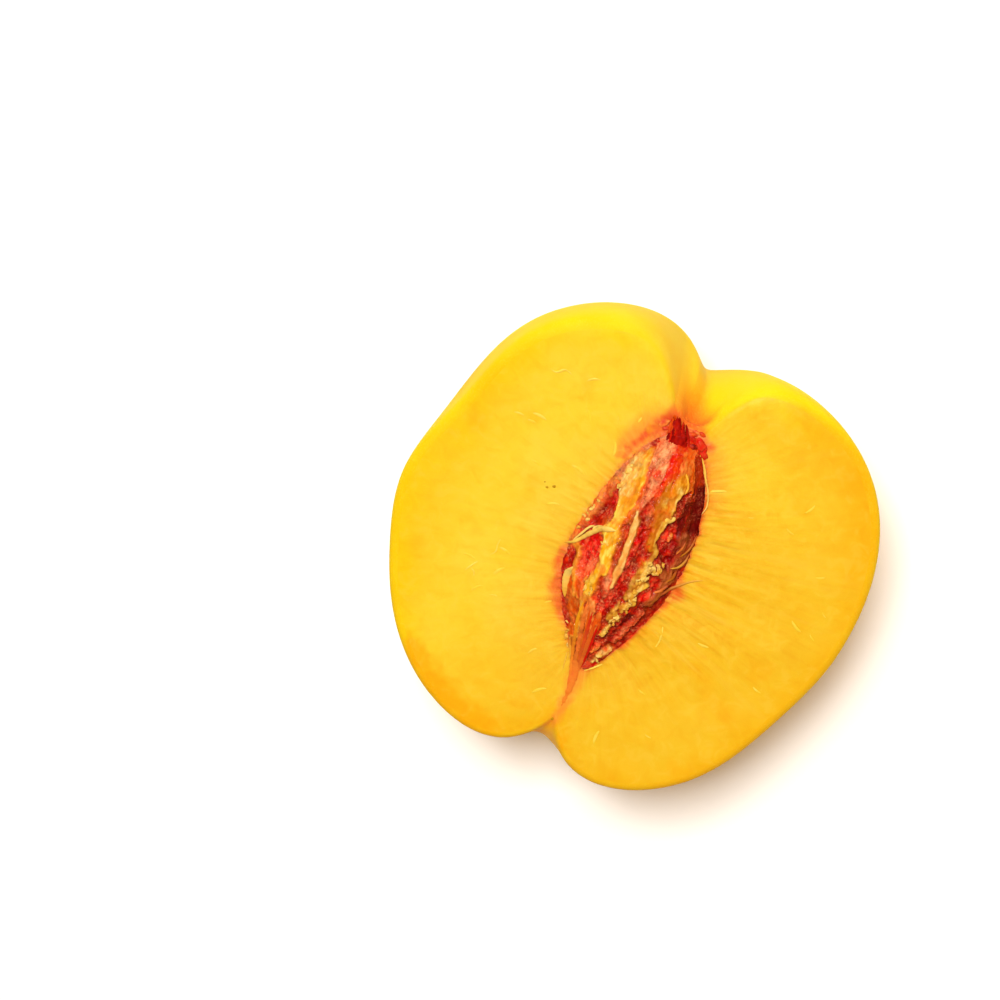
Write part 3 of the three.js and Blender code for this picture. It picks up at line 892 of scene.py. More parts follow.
def shred_material(name, mottle=(0.95, 0.8, 0.5), shine=0.22):
    """Shreds and fibres of flesh in the tone that their mesh carries: damp, with soft mottling."""
    material, tree = new_material(name)
    here = tree.wire("TexCoord", output="Object")
    patches = tree.noise(here, 900.0, 3.0, 0.6)
    grit = tree.noise(here, 3000.0, 2.0, 0.6)
    colour = tree.shade(patches.clamped(0.42, 0.64) * 0.6, tree.attribute("tone"), mottle)
    finish_material(
        tree, Base_Color=colour, Roughness=0.34 + 0.2 * grit,
        Normal=tree.bump(grit + patches, 0.4, 0.0001), IOR=1.38, Specular_IOR_Level=shine)
    return material


# ---- Meshes ----

def new_piece(name, points, faces, materials, replaces=()):
    """A smooth closed piece from points in millimetres, riding on the part."""
    mesh = bpy.data.meshes.new(name)
    mesh.from_pydata(place(points).tolist(), [], faces)
    return settle(name, mesh, materials, replaces)


def settle(name, mesh, materials, replaces=()):
    for material in materials:
        if material.name not in mesh.materials:
            mesh.materials.append(material)
    mesh.shade_smooth()
    mesh.update()
    piece = bpy.data.objects.new(name, mesh)
    bpy.context.scene.collection.objects.link(piece)
    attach(piece, BODY)
    if replaces:
        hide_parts(*replaces)
    return piece


def millimetres(mesh):
    """Places of the mesh's points in millimetres of the frame."""
    points = np.empty(3 * len(mesh.vertices))
    mesh.vertices.foreach_get("co", points)
    return points.reshape(-1, 3) / MM


def store(mesh, name, kind, values):
    """Writes a point attribute of the mesh."""
    attribute = mesh.attributes.new(name, kind, "POINT")
    field = {"FLOAT": "value", "FLOAT_COLOR": "color", "FLOAT_VECTOR": "vector"}[kind]
    attribute.data.foreach_set(field, np.asarray(values, np.float32).ravel())


def store_tone(mesh, tone):
    """Writes the tone of each point, with full alpha."""
    store(mesh, "tone", "FLOAT_COLOR", np.concatenate([tone, np.ones((len(tone), 1))], 1))


def ring_faces(rings, columns, start=0):
    """Quads between closed rings of points that follow each other in the point list."""
    row, column = np.meshgrid(np.arange(rings - 1), np.arange(columns), indexing="ij")
    following = (column + 1) % columns
    corners = [row * columns + column, row * columns + following,
               (row + 1) * columns + following, (row + 1) * columns + column]
    return (np.stack(corners, -1).reshape(-1, 4) + start).tolist()


def cap_faces(ring_start, columns, pole, flip):
    """Triangles that close a ring of points on one pole point."""
    faces = []
    for column in range(columns):
        pair = (ring_start + column, ring_start + (column + 1) % columns)
        faces.append((*(pair[::-1] if flip else pair), pole))
    return faces


def crowded_turns(count):
    """Turns round the face, closer together at the stem end and at the tip."""
    even = np.linspace(0, math.tau, 4001)
    from_stem = np.minimum(even, math.tau - even)
    weight = 1 + STEM_CROWD[0] * bell(from_stem, STEM_CROWD[1])
    weight = weight + TIP_CROWD[0] * bell(math.pi - from_stem, TIP_CROWD[1])
    total = np.concatenate([[0], np.cumsum((weight[1:] + weight[:-1]) / 2)])
    return np.interp(np.arange(count) / count * total[-1], total, even)


def fan_of(x, y):
    """Which fibre passes a point, as a turn, and how far it has run: they leave the stone squarely."""
    fibre = np.arccosh((y + FIBRE_MIDDLE + 1j * (x - STONE["side_shift"])) / FIBRE_FOCUS)
    return fibre.imag, FIBRE_FOCUS * fibre.real


def fan_points(x, y, around=1.0, along=1.0):
    """Points for a noise that runs along the fibres."""
    turn, run = fan_of(x, y)
    return np.stack([around * np.cos(turn), around * np.sin(turn), along * run], -1)


def face_relief(x, y, from_stone, settings, noise):
    """Height of the cut face over its plane, in millimetres."""
    waves = noise.at(flat(x, y), 11.0) + 0.5 * noise.at(flat(x, y, 3.1), 4.5)
    side = (0.45 + 0.55 * ramp(-4, 6, x)) * ramp(19, 8, y) * (0.2 + 0.8 * ramp(-24, -12, y))
    folds = noise.layered(fan_points(x, y, *FOLDS), 1.0, 3, 0.55) * side * np.exp(-from_stone / 7.0)
    fibres = noise.layered(fan_points(x, y, *FIBRES), 1.0, 2) * (0.35 + np.exp(-from_stone / 8.0))
    pores = noise.at(flat(x, y, 8.2), 0.9)
    lip = 0.3 + 0.35 * noise.layered(flat(x, y, 5.7), 1.1, 2)
    lip = lip * np.exp(-np.maximum(from_stone, 0) / 0.6)
    relief = settings.waviness * waves + settings.fold_height * folds
    relief = relief + settings.fibre_height * (fibres + 0.6 * pores)
    return relief / MM + lip


def face_tones(x, y, from_stone, from_rim, noise):
    """Tone of the cut face: paler within, redder round the stone, deeper at the rim, and paler at the stem
    side's edge, partly as painted light.
    """
    slow = noise.layered(flat(x, y, 1.7), 9.0, 3)
    patches = noise.layered(flat(x, y, 6.4), 6.5, 3)
    low_side = ramp(-8, 16, 0.8 * x - 0.6 * y)
    stem_side = ramp(-14, 10, y - 0.4 * x)
    pale = ramp(0.2, 0.9, np.exp(-from_stone / 11.0) + 0.3 * slow)
    tone = tint(plain("face", len(x)), TONES["face_pale"], 0.6 * pale)
    rim_tone = tint(plain("rim_stem", len(x)), TONES["rim_low"], low_side)
    tone = tint(tone, rim_tone, 0.9 * (1 - ramp(0.5, 6.5, from_rim + 2.5 * slow)))
    tone = washed(tone, (
        # Paler skin tone at the stem side's edge: partly the skin's colour, partly a painted highlight on
        # the rounded edge.
        ("skin_pale_lit", 0.45 * stem_side * (1 - ramp(0.3, 2.2, from_rim))),
        ("near_stone", 0.55 * low_side),
        ("rim_low", 0.5 * ramp(-22, -31, x)),
        ("patch", 0.3 * ramp(0.25, 0.8, patches)),
        ("near_stone", 0.8 * np.exp(-from_stone / 5.5)),
    ))

    wander_x = 0.55 * noise.layered(flat(x, y, 4.4), 2.2, 3)
    wander_y = 0.55 * noise.layered(flat(x, y, 9.4), 2.2, 3)
    for stroke in FACE_STROKES:
        broad = 2.2 if stroke.tone == "patch" else 1.0
        cover = stroke_cover(stroke, x + broad * wander_x, y + broad * wander_y)
        tone = tint(tone, TONES[stroke.tone], cover)

    teeth = noise.layered(fan_points(x, y, *TEETH), 1.0, 4, 0.6)
    width = margin_width(x, y) * (1 + 0.45 * teeth)
    outside = np.maximum(from_stone, 0)
    return washed(tone, (
        ("halo_orange", 0.75 * bell(outside, np.maximum(width, 0.12), 1.2)),
        ("halo_red", 0.85 * bell(outside, np.maximum(0.45 * width, 0.08), 1.3)),
    ))


def skin_tones(x, y, z, noise):
    """Tone of the skin: paler high on the stem side (partly its own colour, partly painted light), a faint
    blush that is stronger low down as painted shade, and painted light and shade in the dent and the seam.
    """
    slow = noise.layered(np.stack([x, y, z], -1), 14.0, 3)
    away = np.hypot(x, z)
    at_stem = ramp(12, 20, y)
    rim = ramp(-16, -1, z) * (0.45 + 0.55 * ramp(-25, 10, y))
    under_rim = ramp(-2.6, -0.2, z)
    dent = bell(away, 4.5) * ramp(10, 20, y)
    wall = bell(away, 11.0) * at_stem
    edge_highlight = bell(z + 1.2, 1.2) * bell(away, 13.0) * at_stem
    left_low = ramp(1.2, -0.2, x) * bell(np.hypot(x + 1, 0.5 * z), 4.5)
    return washed(plain("skin", len(x)), (
        # Paler high up and on the stem side: partly the skin's own colour, partly painted light.
        ("skin_pale_lit", np.clip(rim + 0.35 * slow, 0, 1)),
        # Orange blush: patchy at random, and stronger low down as painted shade.
        ("skin_blush_and_shade", 0.75 * ramp(0.0, 0.9, -0.9 * slow - 0.03 * z - 0.45)),
        # Painted shade: an orange tint in the tip's notch.
        ("seam_shade", bell(np.hypot(x, 0.5 * z), 5.0) * ramp(-26, -31, y)),
        ("rim_stem", 0.8 * under_rim * ramp(-22, -6, y)),
        ("rim_low", 0.6 * under_rim * ramp(-6, -22, y)),
        # Painted shade: an orange tint along the seam's groove.
        ("seam_shade", 0.5 * bell(x, 0.6, 1.3) * ramp(18, 8, y)),
        # Painted light: the dent's left wall, turned from the lamp, lightened, and its right wall, turned to
        # it, paler.
        ("dent_wall_lit", 0.9 * wall * ramp(1.5, -0.5, x)),
        ("skin_pale_lit", 0.9 * wall * ramp(-0.5, 1.5, x)),
        # Painted highlight: a pale band along the edge on the dent's left wall.
        ("face_pale", 0.45 * edge_highlight * ramp(0.0, -2.0, x)),
        # Painted shade: warm orange low on the dent's left wall.
        ("dent_low_shade", 0.9 * left_low * ramp(28, 23, y) * ramp(17, 19, y)),
        ("halo_red", 0.8 * dent * ramp(25, 21.5, y)),
    ))


def soften_dent(rings, from_stem):
    """Evens out the fold between face and skin in the walls of the dent."""
    first = HOLLOW_RINGS + FACE_RINGS - DENT_REACH
    last = HOLLOW_RINGS + FACE_RINGS + EDGE_RINGS + DENT_REACH
    weight = bell(from_stem, 0.6, 3.0) * ramp(0.08, 0.2, from_stem)
    band = np.array(rings[first:last])
    for _ in range(DENT_PASSES):
        even = (band[:-2] + 2 * band[1:-1] + band[2:]) / 4
        band[1:-1] = mix(band[1:-1], even, weight)
    for index, ring in enumerate(band):
        rings[first + index] = tuple(ring)


def flesh_rings(turns, inner, outer, edge, cling):
    """Rings from the hollow over the face and its edge to the back, and the kind of each."""
    across, along, level = np.sin(turns), np.cos(turns), 0 * turns
    rim_dip = edge / outer
    rim_x, rim_y, rim_z = skin_point(turns, rim_dip)
    rim_reach = np.hypot(rim_x, rim_y)
    rings, kinds = [], []
    # Hollow, from its deepest ring up to the inner edge of the face.
    for step in range(HOLLOW_RINGS):
        dip = math.pi / 2 * (1 - (step + 1) / (HOLLOW_RINGS + 1)) ** 1.2
        flat_part, down = math.cos(dip), -math.sin(dip)
        reach = hollow_radius(across * flat_part, along * flat_part, down + level)
        reach = reach + cling * math.exp(-dip / 0.25)
        rings.append((reach * across * flat_part, reach * along * flat_part, reach * down))
        kinds.append("hollow")
    # Cut face, from the stone out to the skin.
    face_outer = outer - edge
    for step in range(FACE_RINGS + 1):
        reach = inner + (face_outer - inner) * (step / FACE_RINGS) ** 1.3
        rings.append((reach * across, reach * along, level))
        kinds.append("face")
    # Rounded edge, on a curve that leaves the face level and meets the skin in line.
    for step in range(1, EDGE_RINGS + 1):
        share = step / EDGE_RINGS
        reach = mix(mix(face_outer, outer, share), mix(outer, rim_reach, share), share)
        rings.append((reach * across, reach * along, rim_z * share * share))
        kinds.append("edge")
    # Skin, down to the back.
    for step in range(1, SKIN_RINGS):
        share = (step / SKIN_RINGS) ** 1.25
        rings.append(skin_point(turns, rim_dip + (math.pi / 2 - rim_dip) * share))
        kinds.append("skin")
    return rings, kinds


def raise_face(x, y, z, kind, from_stone, settings, noise):
    """Heights of the flesh with the relief of its cut face, which fades out below the edge."""
    z = z.copy()
    on_top = (kind == "face") | (kind == "edge")
    relief = face_relief(x[on_top], y[on_top], from_stone[on_top], settings, noise)
    dip = bell(x[on_top] - STEM_DIP["x"], STEM_DIP["half_width"])
    dip = dip * bell(y[on_top] - STEM_DIP["y"], STEM_DIP["half_length"])
    z[on_top] += relief - STEM_DIP["depth"] * dip
    skin = kind == "skin"
    relief = face_relief(x[skin], y[skin], np.full(skin.sum(), FAR_OUT), settings, noise)
    z[skin] += relief * np.clip(1 + z[skin] / RELIEF_FADE, 0, 1)
    top_ring = np.arange(len(x)) // SPOKES == HOLLOW_RINGS - 1
    z[top_ring] = np.minimum(z[top_ring], HOLLOW_TOP)
    return z


def paint_flesh(x, y, z, kind, from_stone, from_rim, noise):
    """Tones of the hollow, the face, the edge and the skin."""
    tone = plain("hollow", len(x))
    on_top = (kind == "face") | (kind == "edge")
    tone[on_top] = face_tones(x[on_top], y[on_top], from_stone[on_top], from_rim[on_top], noise)
    wall = kind == "hollow"
    # The hollow's wall: red flesh, darker deeper down as painted shade.
    tone[wall] = tint(TONES["hollow"], TONES["halo_orange"], 0.8 * ramp(-2.2, -0.3, z[wall]))
    outside = (kind == "skin") | (kind == "edge")
    skin_colour = skin_tones(x[outside], y[outside], z[outside], noise)
    edge_share = np.where(kind[outside] == "edge", ramp(-1.0, -0.05, z[outside]), 0.0)
    tone[outside] = tint(skin_colour, tone[outside], edge_share)
    return tone


def store_fibre_run(mesh, points, from_stone):
    """Stores the run of the fibres, and how strongly streaks and torn grains show beside the stone."""
    x, y, z = points.T
    right_side = ramp(-4, 4, x)
    store(mesh, "fan", "FLOAT_VECTOR", fan_points(x, y))
    near = np.exp(-np.maximum(from_stone, 0) / (6.0 + 7.0 * right_side))
    near = near * (0.25 + 0.75 * ramp(20, 9, y)) * (0.3 + 0.7 * ramp(-24, -12, y))
    near = near * (1 + 0.35 * right_side)
    store(mesh, "near", "FLOAT", 0.08 + 0.92 * near)
    raw = np.exp(-np.maximum(from_stone, 0) / (0.6 * margin_width(x, y)))
    store(mesh, "raw", "FLOAT", raw * (z > -2.5))


def build_flesh(settings):
    """The flesh with its skin: cut face, edge, skin and hollow as one closed mesh."""
    noise = Noise(SEEDS["flesh"])
    turns = crowded_turns(SPOKES)
    from_stem = np.minimum(turns, math.tau - turns)
    across, along, level = np.sin(turns), np.cos(turns), 0 * turns
    cling = CLING_WANDER * noise.layered(flat(20 * across, 20 * along), 2.6, 3) - CLING
    inner = hollow_radius(across, along, level) + cling
    outer = np.hypot(*skin_point(turns, level)[:2])
    edge = settings.edge_round / MM * (1 + DENT_ROUNDING * bell(from_stem, 0.5))
    edge = np.minimum(np.maximum(edge, settings.skin_thickness / MM), 0.45 * (outer - inner))

    rings, kinds = flesh_rings(turns, inner, outer, edge, cling)
    soften_dent(rings, from_stem)
    x, y, z = (np.concatenate(parts) for parts in zip(*rings))
    kind = np.repeat(kinds, SPOKES)
    from_stone = np.hypot(x, y) - np.tile(inner, len(rings))
    from_rim = np.tile(outer, len(rings)) - np.hypot(x, y)
    z = raise_face(x, y, z, kind, from_stone, settings, noise)
    tone = paint_flesh(x, y, z, kind, from_stone, from_rim, noise)

    pole_skin = len(x)
    pole_hollow = pole_skin + 1
    skin_low = skin_point(np.array([0.0]), np.array([math.pi / 2]))[2][0]
    hollow_low = hollow_radius(np.array([0.0]), np.array([0.0]), np.array([-1.0]))[0]
    points = np.concatenate([np.stack([x, y, z], -1), [[0, 0, skin_low]], [[0, 0, -hollow_low]]])
    tone = np.concatenate([tone, [TONES["skin"]], [TONES["hollow"]]])
    faces = ring_faces(len(rings), SPOKES)
    quads = len(faces)
    faces += cap_faces((len(rings) - 1) * SPOKES, SPOKES, pole_skin, flip=False)
    faces += cap_faces(0, SPOKES, pole_hollow, flip=True)

    materials = [cut_flesh_material(settings), skin_material(settings)]
    piece = new_piece("peach_flesh", points, [face[::-1] for face in faces], materials,
                      ["flesh"])
    mesh = piece.data
    store_tone(mesh, tone)
    store_fibre_run(mesh, points, np.append(from_stone, [0, 0]))
    skin_faces = np.zeros(len(faces), np.int32)
    skin_faces[(HOLLOW_RINGS + FACE_RINGS) * SPOKES:quads + SPOKES] = 1
    mesh.polygons.foreach_set("material_index", skin_faces)
    mesh.update()
    return piece


# Painted shade and highlight: what the stone's tone is multiplied by in its wrinkles and pits, darker, and
# on their crests and high edges, paler.
VALLEY_PAINTED_SHADE = (0.95, 0.74, 0.5)
CREST_PAINTED_HIGHLIGHT = (1.06, 1.25, 1.6)
PIT_PAINTED_SHADE = (0.86, 0.5, 0.3)
EDGE_PAINTED_HIGHLIGHT = (1.04, 1.15, 1.35)


def stone_turns():
    """Turns round the stone, close together where it shows."""
    low, high = STONE_TOP_TURNS
    top = np.linspace(low, high, STONE_TOP_COLUMNS, endpoint=False)
    under = np.linspace(high, low + math.tau, STONE_UNDER_COLUMNS, endpoint=False)
    return np.concatenate([top, under])


def evened(grid, passes):
    """A grid of heights, round in its second direction, with its small forms taken out."""
    for _ in range(passes):
        grid = (np.roll(grid, 1, 1) + 2 * grid + np.roll(grid, -1, 1)) / 4
        grid[1:-1] = (grid[:-2] + 2 * grid[1:-1] + grid[2:]) / 4
    return grid


def paint_stone(points, furrows, settings, noise):
    """Relief, tone, grain and wetness that the strokes give to points of the smooth stone."""
    x, y, z = points.T
    ragged = settings.ragged / MM
    plan_x = x + ragged * noise.layered(points * COMB, 1.3, 3, 0.65)
    plan_y = y + ragged * noise.layered(points * COMB + 31.7, 1.3, 3, 0.65)
    top = stone_top(z)
    patches = ramp(-0.25, 0.45, noise.layered(points * COMB + 9.1, 0.8, 3, 0.6))
    crumble = 0.5 * noise.layered(points + 2.7, 0.45, 2, 0.7)
    lift = mix(-furrows, np.full_like(x, -0.6), top)
    tone = tint(plain("shell", len(x)), tint(TONES["pulp"], MOTTLES["pulp"], patches), top)
    grain = 0.6 + 0.3 * top
    wet = 0.35 + 0.4 * top
    for stroke in STONE_STROKES:
        if stroke.tone in BORDERS:
            border = stroke_cover(stroke, plan_x, plan_y, 1.4) * top * ramp(0.0, 0.5, 0.5 + crumble)
            tone = tint(tone, TONES[BORDERS[stroke.tone]], 0.8 * border)
        cover = stroke_cover(stroke, plan_x, plan_y) * top
        lift = mix(lift, stroke.lift * settings.pit_scale, ramp(0, 1, cover))
        cover = ramp(0.1, 0.9, cover + 0.8 * crumble * (1 - np.abs(2 * cover - 1)))
        tone = tint(tone, tint(TONES[stroke.tone], MOTTLES[stroke.tone], patches), cover)
        grain = mix(grain, stroke.grain, cover)
        wet = mix(wet, stroke.wet, cover)
    return lift, tone, grain, wet


def stone_top(z):
    """1 on the part of the stone that shows, 0 on the part below the face."""
    return ramp(-3.5, -1.2, z)


def roughen_stone(share, points, lift, tone, grain, settings, noise):
    """Heights and tones with grains, lumps and wrinkles added, painted shade and highlight on that relief,
    and with the flesh met at the edge.
    """
    x, y, z = points.T
    top = stone_top(z)
    fade = np.minimum(1, 2.2 * stone_fullness(share))
    grains = noise.layered(points, 0.42, 2, 0.6)
    lumps = noise.layered(points + 5.5, 1.3, 2, 0.5)
    broad = noise.layered(points + 77.0, 2.4, 2, 0.5)
    wrinkles = 1 - 3 * np.abs(noise.layered(points * COMB + 51.0, 1.9, 3, 0.45))
    fibres = noise.layered(points * (1.0, 0.25, 1.0) + 3.3, 0.5, 2, 0.5)
    smooth = (1 - ramp(0.2, 0.7, grain)) * top
    fine = settings.grain_height / MM * grain * grains + 0.16 * lumps + 0.05 * fibres
    lift = lift + fade * (fine + 0.09 * smooth * wrinkles)
    # The stone fills its hollow where it meets the flesh, apart from the open place at its upper right.
    edge = 1 - ramp(0.2, 2.0, z + 0.35)
    open_side = ramp(1.0, 3.5, x) * ramp(-3.0, 3.0, y)
    lift = mix(lift, 0.3 + 0.35 * lift, edge * top * (1 - 0.25 * open_side)) * fade

    # Painted light on the relief: the tone is lighter on grains and lumps that stand up and darker between
    # them, with broad tone at random.
    shade = 1 + grain * (0.32 * grains + 0.4 * lumps + 0.4 * broad) + 0.1 * lumps
    tone = tone * np.clip(shade, 0.35, 1.45)[:, None]
    tone = tint(tone, tone * VALLEY_PAINTED_SHADE, 0.42 * smooth * ramp(0.2, -0.6, wrinkles))
    tone = tint(tone, tone * CREST_PAINTED_HIGHLIGHT, 0.6 * smooth * ramp(0.45, 0.95, wrinkles))
    # Painted shade and highlight: low places beside high ones are darker and redder, and high edges are
    # paler.
    grid = lift.reshape(STONE_ROWS - 1, -1)
    raised = (grid - evened(grid.copy(), CAVITY_PASSES)).ravel()
    tone = tint(tone, tone * PIT_PAINTED_SHADE, 0.75 * ramp(-0.02, -0.35, raised))
    return lift, tint(tone, tone * EDGE_PAINTED_HIGHLIGHT, 0.6 * ramp(0.04, 0.3, raised))


def build_stone(settings):
    """The stone with the shreds and pits on its top worked into its surface."""
    noise = Noise(SEEDS["stone"])
    rows = np.arange(1, STONE_ROWS) / STONE_ROWS
    rows = rows - 0.5 * np.sin(math.tau * rows) / math.tau
    share, turn = (part.ravel() for part in np.meshgrid(rows, stone_turns(), indexing="ij"))
    points = np.stack(stone_point(share, turn), -1)
    furrows = furrow_depth(share, from_keel(turn))
    lift, tone, grain, wet = paint_stone(points, furrows, settings, noise)
    lift, tone = roughen_stone(share, points, lift, tone, grain, settings, noise)

    ends = [stone_point(np.array([end]), np.array([0.0])) for end in (SMALL, 1 - SMALL)]
    rough = np.stack(stone_point(share, turn, lift), -1)
    points = np.concatenate([rough] + [np.stack(end, -1) for end in ends])
    tone = np.concatenate([tone, [TONES["pulp"]], [TONES["strand"]]])
    grain = np.concatenate([grain, [0.5, 0.2]])
    wet = np.concatenate([wet, [0.6, 0.6]])
    columns = STONE_TOP_COLUMNS + STONE_UNDER_COLUMNS
    faces = ring_faces(STONE_ROWS - 1, columns)
    faces += cap_faces(0, columns, len(points) - 2, flip=True)
    faces += cap_faces((STONE_ROWS - 2) * columns, columns, len(points) - 1, flip=False)

    piece = new_piece("peach_stone", points, [face[::-1] for face in faces], [stone_material()],
                      ["stone"])
    store_tone(piece.data, tone)
    store(piece.data, "grain", "FLOAT", grain)
    store(piece.data, "wet", "FLOAT", np.clip(wet, 0, 1))
    return piece


# ---- Strands, lumps and crumbs on top ----

class Body:
    """Points, faces and tones gathered from several closed parts of one piece."""

    def __init__(self):
        self.points = []
        self.faces = []
        self.tones = []
        self.count = 0

    def add(self, part, tone, end_tone=None):
        """Adds a part's points, faces and shares, its tone passing into end_tone by its shares."""
        points, faces, share = part
        self.points.append(points)
        self.faces += [tuple(corner + self.count for corner in face) for face in faces]
        self.tones.append(tint(TONES[tone][None] + np.zeros_like(points), TONES[end_tone or tone], share))
        self.count += len(points)

    def piece(self, name, material, slot):
        piece = new_piece(name, np.concatenate(self.points), self.faces, [material])
        store_tone(piece.data, np.concatenate(self.tones))
        return piece


class Surface:
    """Heights of the face and the stone over the plan, in millimetres, for what lies on them."""

    CELL = 0.3
    HALF = 45.0
    EMPTY = -99.0
    LOWEST = -4.0
    FILL_PASSES = 3

    def __init__(self):
        size = int(2 * self.HALF / self.CELL)
        self.heights = np.full((size, size), self.EMPTY)
        for name in ("peach_flesh", "peach_stone"):
            points = millimetres(bpy.data.objects[name].data) - MIDDLE
            points = points[points[:, 2] > self.LOWEST]
            np.maximum.at(self.heights, self.cells(points[:, 0], points[:, 1]), points[:, 2])
        for _ in range(self.FILL_PASSES):
            empty = self.heights == self.EMPTY
            around = [np.roll(self.heights, step, axis) for axis in (0, 1) for step in (1, -1)]
            self.heights[empty] = np.max(around, 0)[empty]

    def cells(self, x, y):
        """Column and row of the cell where each point lies."""
        places = (((np.asarray(part) + self.HALF) / self.CELL).astype(int) for part in (x, y))
        return tuple(np.clip(place, 0, len(self.heights) - 1) for place in places)

    def at(self, x, y):
        return self.heights[self.cells(x, y)]


def smooth_path(points, step):
    """Points at even steps on a curve through the given ones."""
    points = np.asarray(points, float)
    ends = [2 * points[0] - points[1]], [2 * points[-1] - points[-2]]
    padded = np.concatenate([ends[0], points, ends[1]])
    parts = []
    for before, start, end, after in zip(padded[:-3], padded[1:-2], padded[2:-1], padded[3:]):
        share = np.linspace(0, 1, 12, endpoint=False)[:, None]
        parts.append(0.5 * (2 * start + (end - before) * share
                            + (2 * before - 5 * start + 4 * end - after) * share ** 2
                            + (3 * start - before - 3 * end + after) * share ** 3))
    curve = np.concatenate(parts + [points[-1:]])
    run = np.concatenate([[0], np.cumsum(np.linalg.norm(np.diff(curve, axis=0), axis=1))])
    even = np.linspace(0, run[-1], max(6, int(run[-1] / step)))
    return np.stack([np.interp(even, run, curve[:, axis]) for axis in range(3)], -1)


# Strands, in mm: length of a step, how often their heights are evened out, roughness, and how far
# their end points stand out.
STRAND_STEP = 0.14
STRAND_PASSES = 14
STRAND_ROUGHNESS = 0.05
STRAND_END = 0.02


def strand(surface, path, widths, noise, flatness=0.6, ragged=0.25, sides=10, blunt=0.12):
    """A closed tapering strand along points (x, y, height over the surface), with its half widths."""
    line = smooth_path(path, STRAND_STEP)
    line[:, 2] += surface.at(line[:, 0], line[:, 1])
    for _ in range(STRAND_PASSES):
        line[1:-1, 2] = (line[:-2, 2] + line[1:-1, 2] + line[2:, 2]) / 3
    share = np.linspace(0, 1, len(line))
    width = np.interp(share, np.linspace(0, 1, len(widths)), widths)
    width = width * np.minimum(1, np.sqrt(np.minimum(share, 1 - share) / blunt + 0.02))
    width = width * (1 + ragged * noise.layered(line + 3.3, 0.7, 2))
    ahead = np.gradient(line, axis=0)
    ahead /= np.linalg.norm(ahead, axis=1, keepdims=True)
    side = np.cross(ahead, (0, 0, 1))
    side /= np.linalg.norm(side, axis=1, keepdims=True)
    up = np.cross(side, ahead)
    turn = np.linspace(0, math.tau, sides, endpoint=False)
    flat_turn = flatness * np.sin(turn)
    across = np.cos(turn)[None, :, None] * side[:, None] + flat_turn[None, :, None] * up[:, None]
    points = (line[:, None] + width[:, None, None] * across).reshape(-1, 3)
    rough = STRAND_ROUGHNESS * noise.layered(points, 0.35, 2) * min(1, 3 * max(widths))
    points = points + rough[:, None]
    count = len(line)
    ends = [line[:1] - STRAND_END * ahead[:1], line[-1:] + STRAND_END * ahead[-1:]]
    points = np.concatenate([points, *ends])
    faces = ring_faces(count, sides)
    faces += cap_faces(0, sides, count * sides, flip=True)
    faces += cap_faces((count - 1) * sides, sides, count * sides + 1, flip=False)
    return points, outward(points, faces), np.concatenate([np.repeat(share, sides), [0.0, 1.0]])


def outward(points, faces):
    """Faces turned so that a closed part has a positive volume."""
    volume = 0
    for face in faces:
        corners = points[list(face)]
        for second, third in zip(corners[1:-1], corners[2:]):
            volume += np.dot(corners[0], np.cross(second, third))
    return faces if volume > 0 else [face[::-1] for face in faces]


def unit_ball(levels):
    """Points and triangles of a round ball of radius 1."""
    mesh = bmesh.new()
    bmesh.ops.create_icosphere(mesh, subdivisions=levels, radius=1)
    points = np.array([tuple(corner.co) for corner in mesh.verts])
    faces = [tuple(corner.index for corner in face.verts) for face in mesh.faces]
    mesh.free()
    return points, faces


def lump(surface, x, y, height, reach, noise, turn, rough, size, levels=4):
    """A closed uneven lump with the given half lengths, its middle at a height over the surface.

    Its bumps are rough high, as a share of its reach, and about size wide.
    """
    points, faces = unit_ball(levels)
    offset = np.array((x, y, height)) * 1.7
    bumps = noise.layered(points * np.mean(reach) + offset, size, 4, 0.6)
    points = points * (1 + rough * bumps)[:, None] * np.array(reach)
    cosine, sine = math.cos(turn), math.sin(turn)
    points = points @ np.array(((cosine, sine, 0), (-sine, cosine, 0), (0, 0, 1)))
    share = ramp(-0.8, 0.8, noise.layered(points + offset, 0.7, 2))
    return points + (x, y, height + float(surface.at(x, y))), outward(points, faces), share


class Strand(NamedTuple):
    """A strand: points (x, y, height over the surface), half widths and the tones of its ends."""
    path: tuple
    width: tuple
    tone: str = "fibre"
    end_tone: str = "fibre_pale"


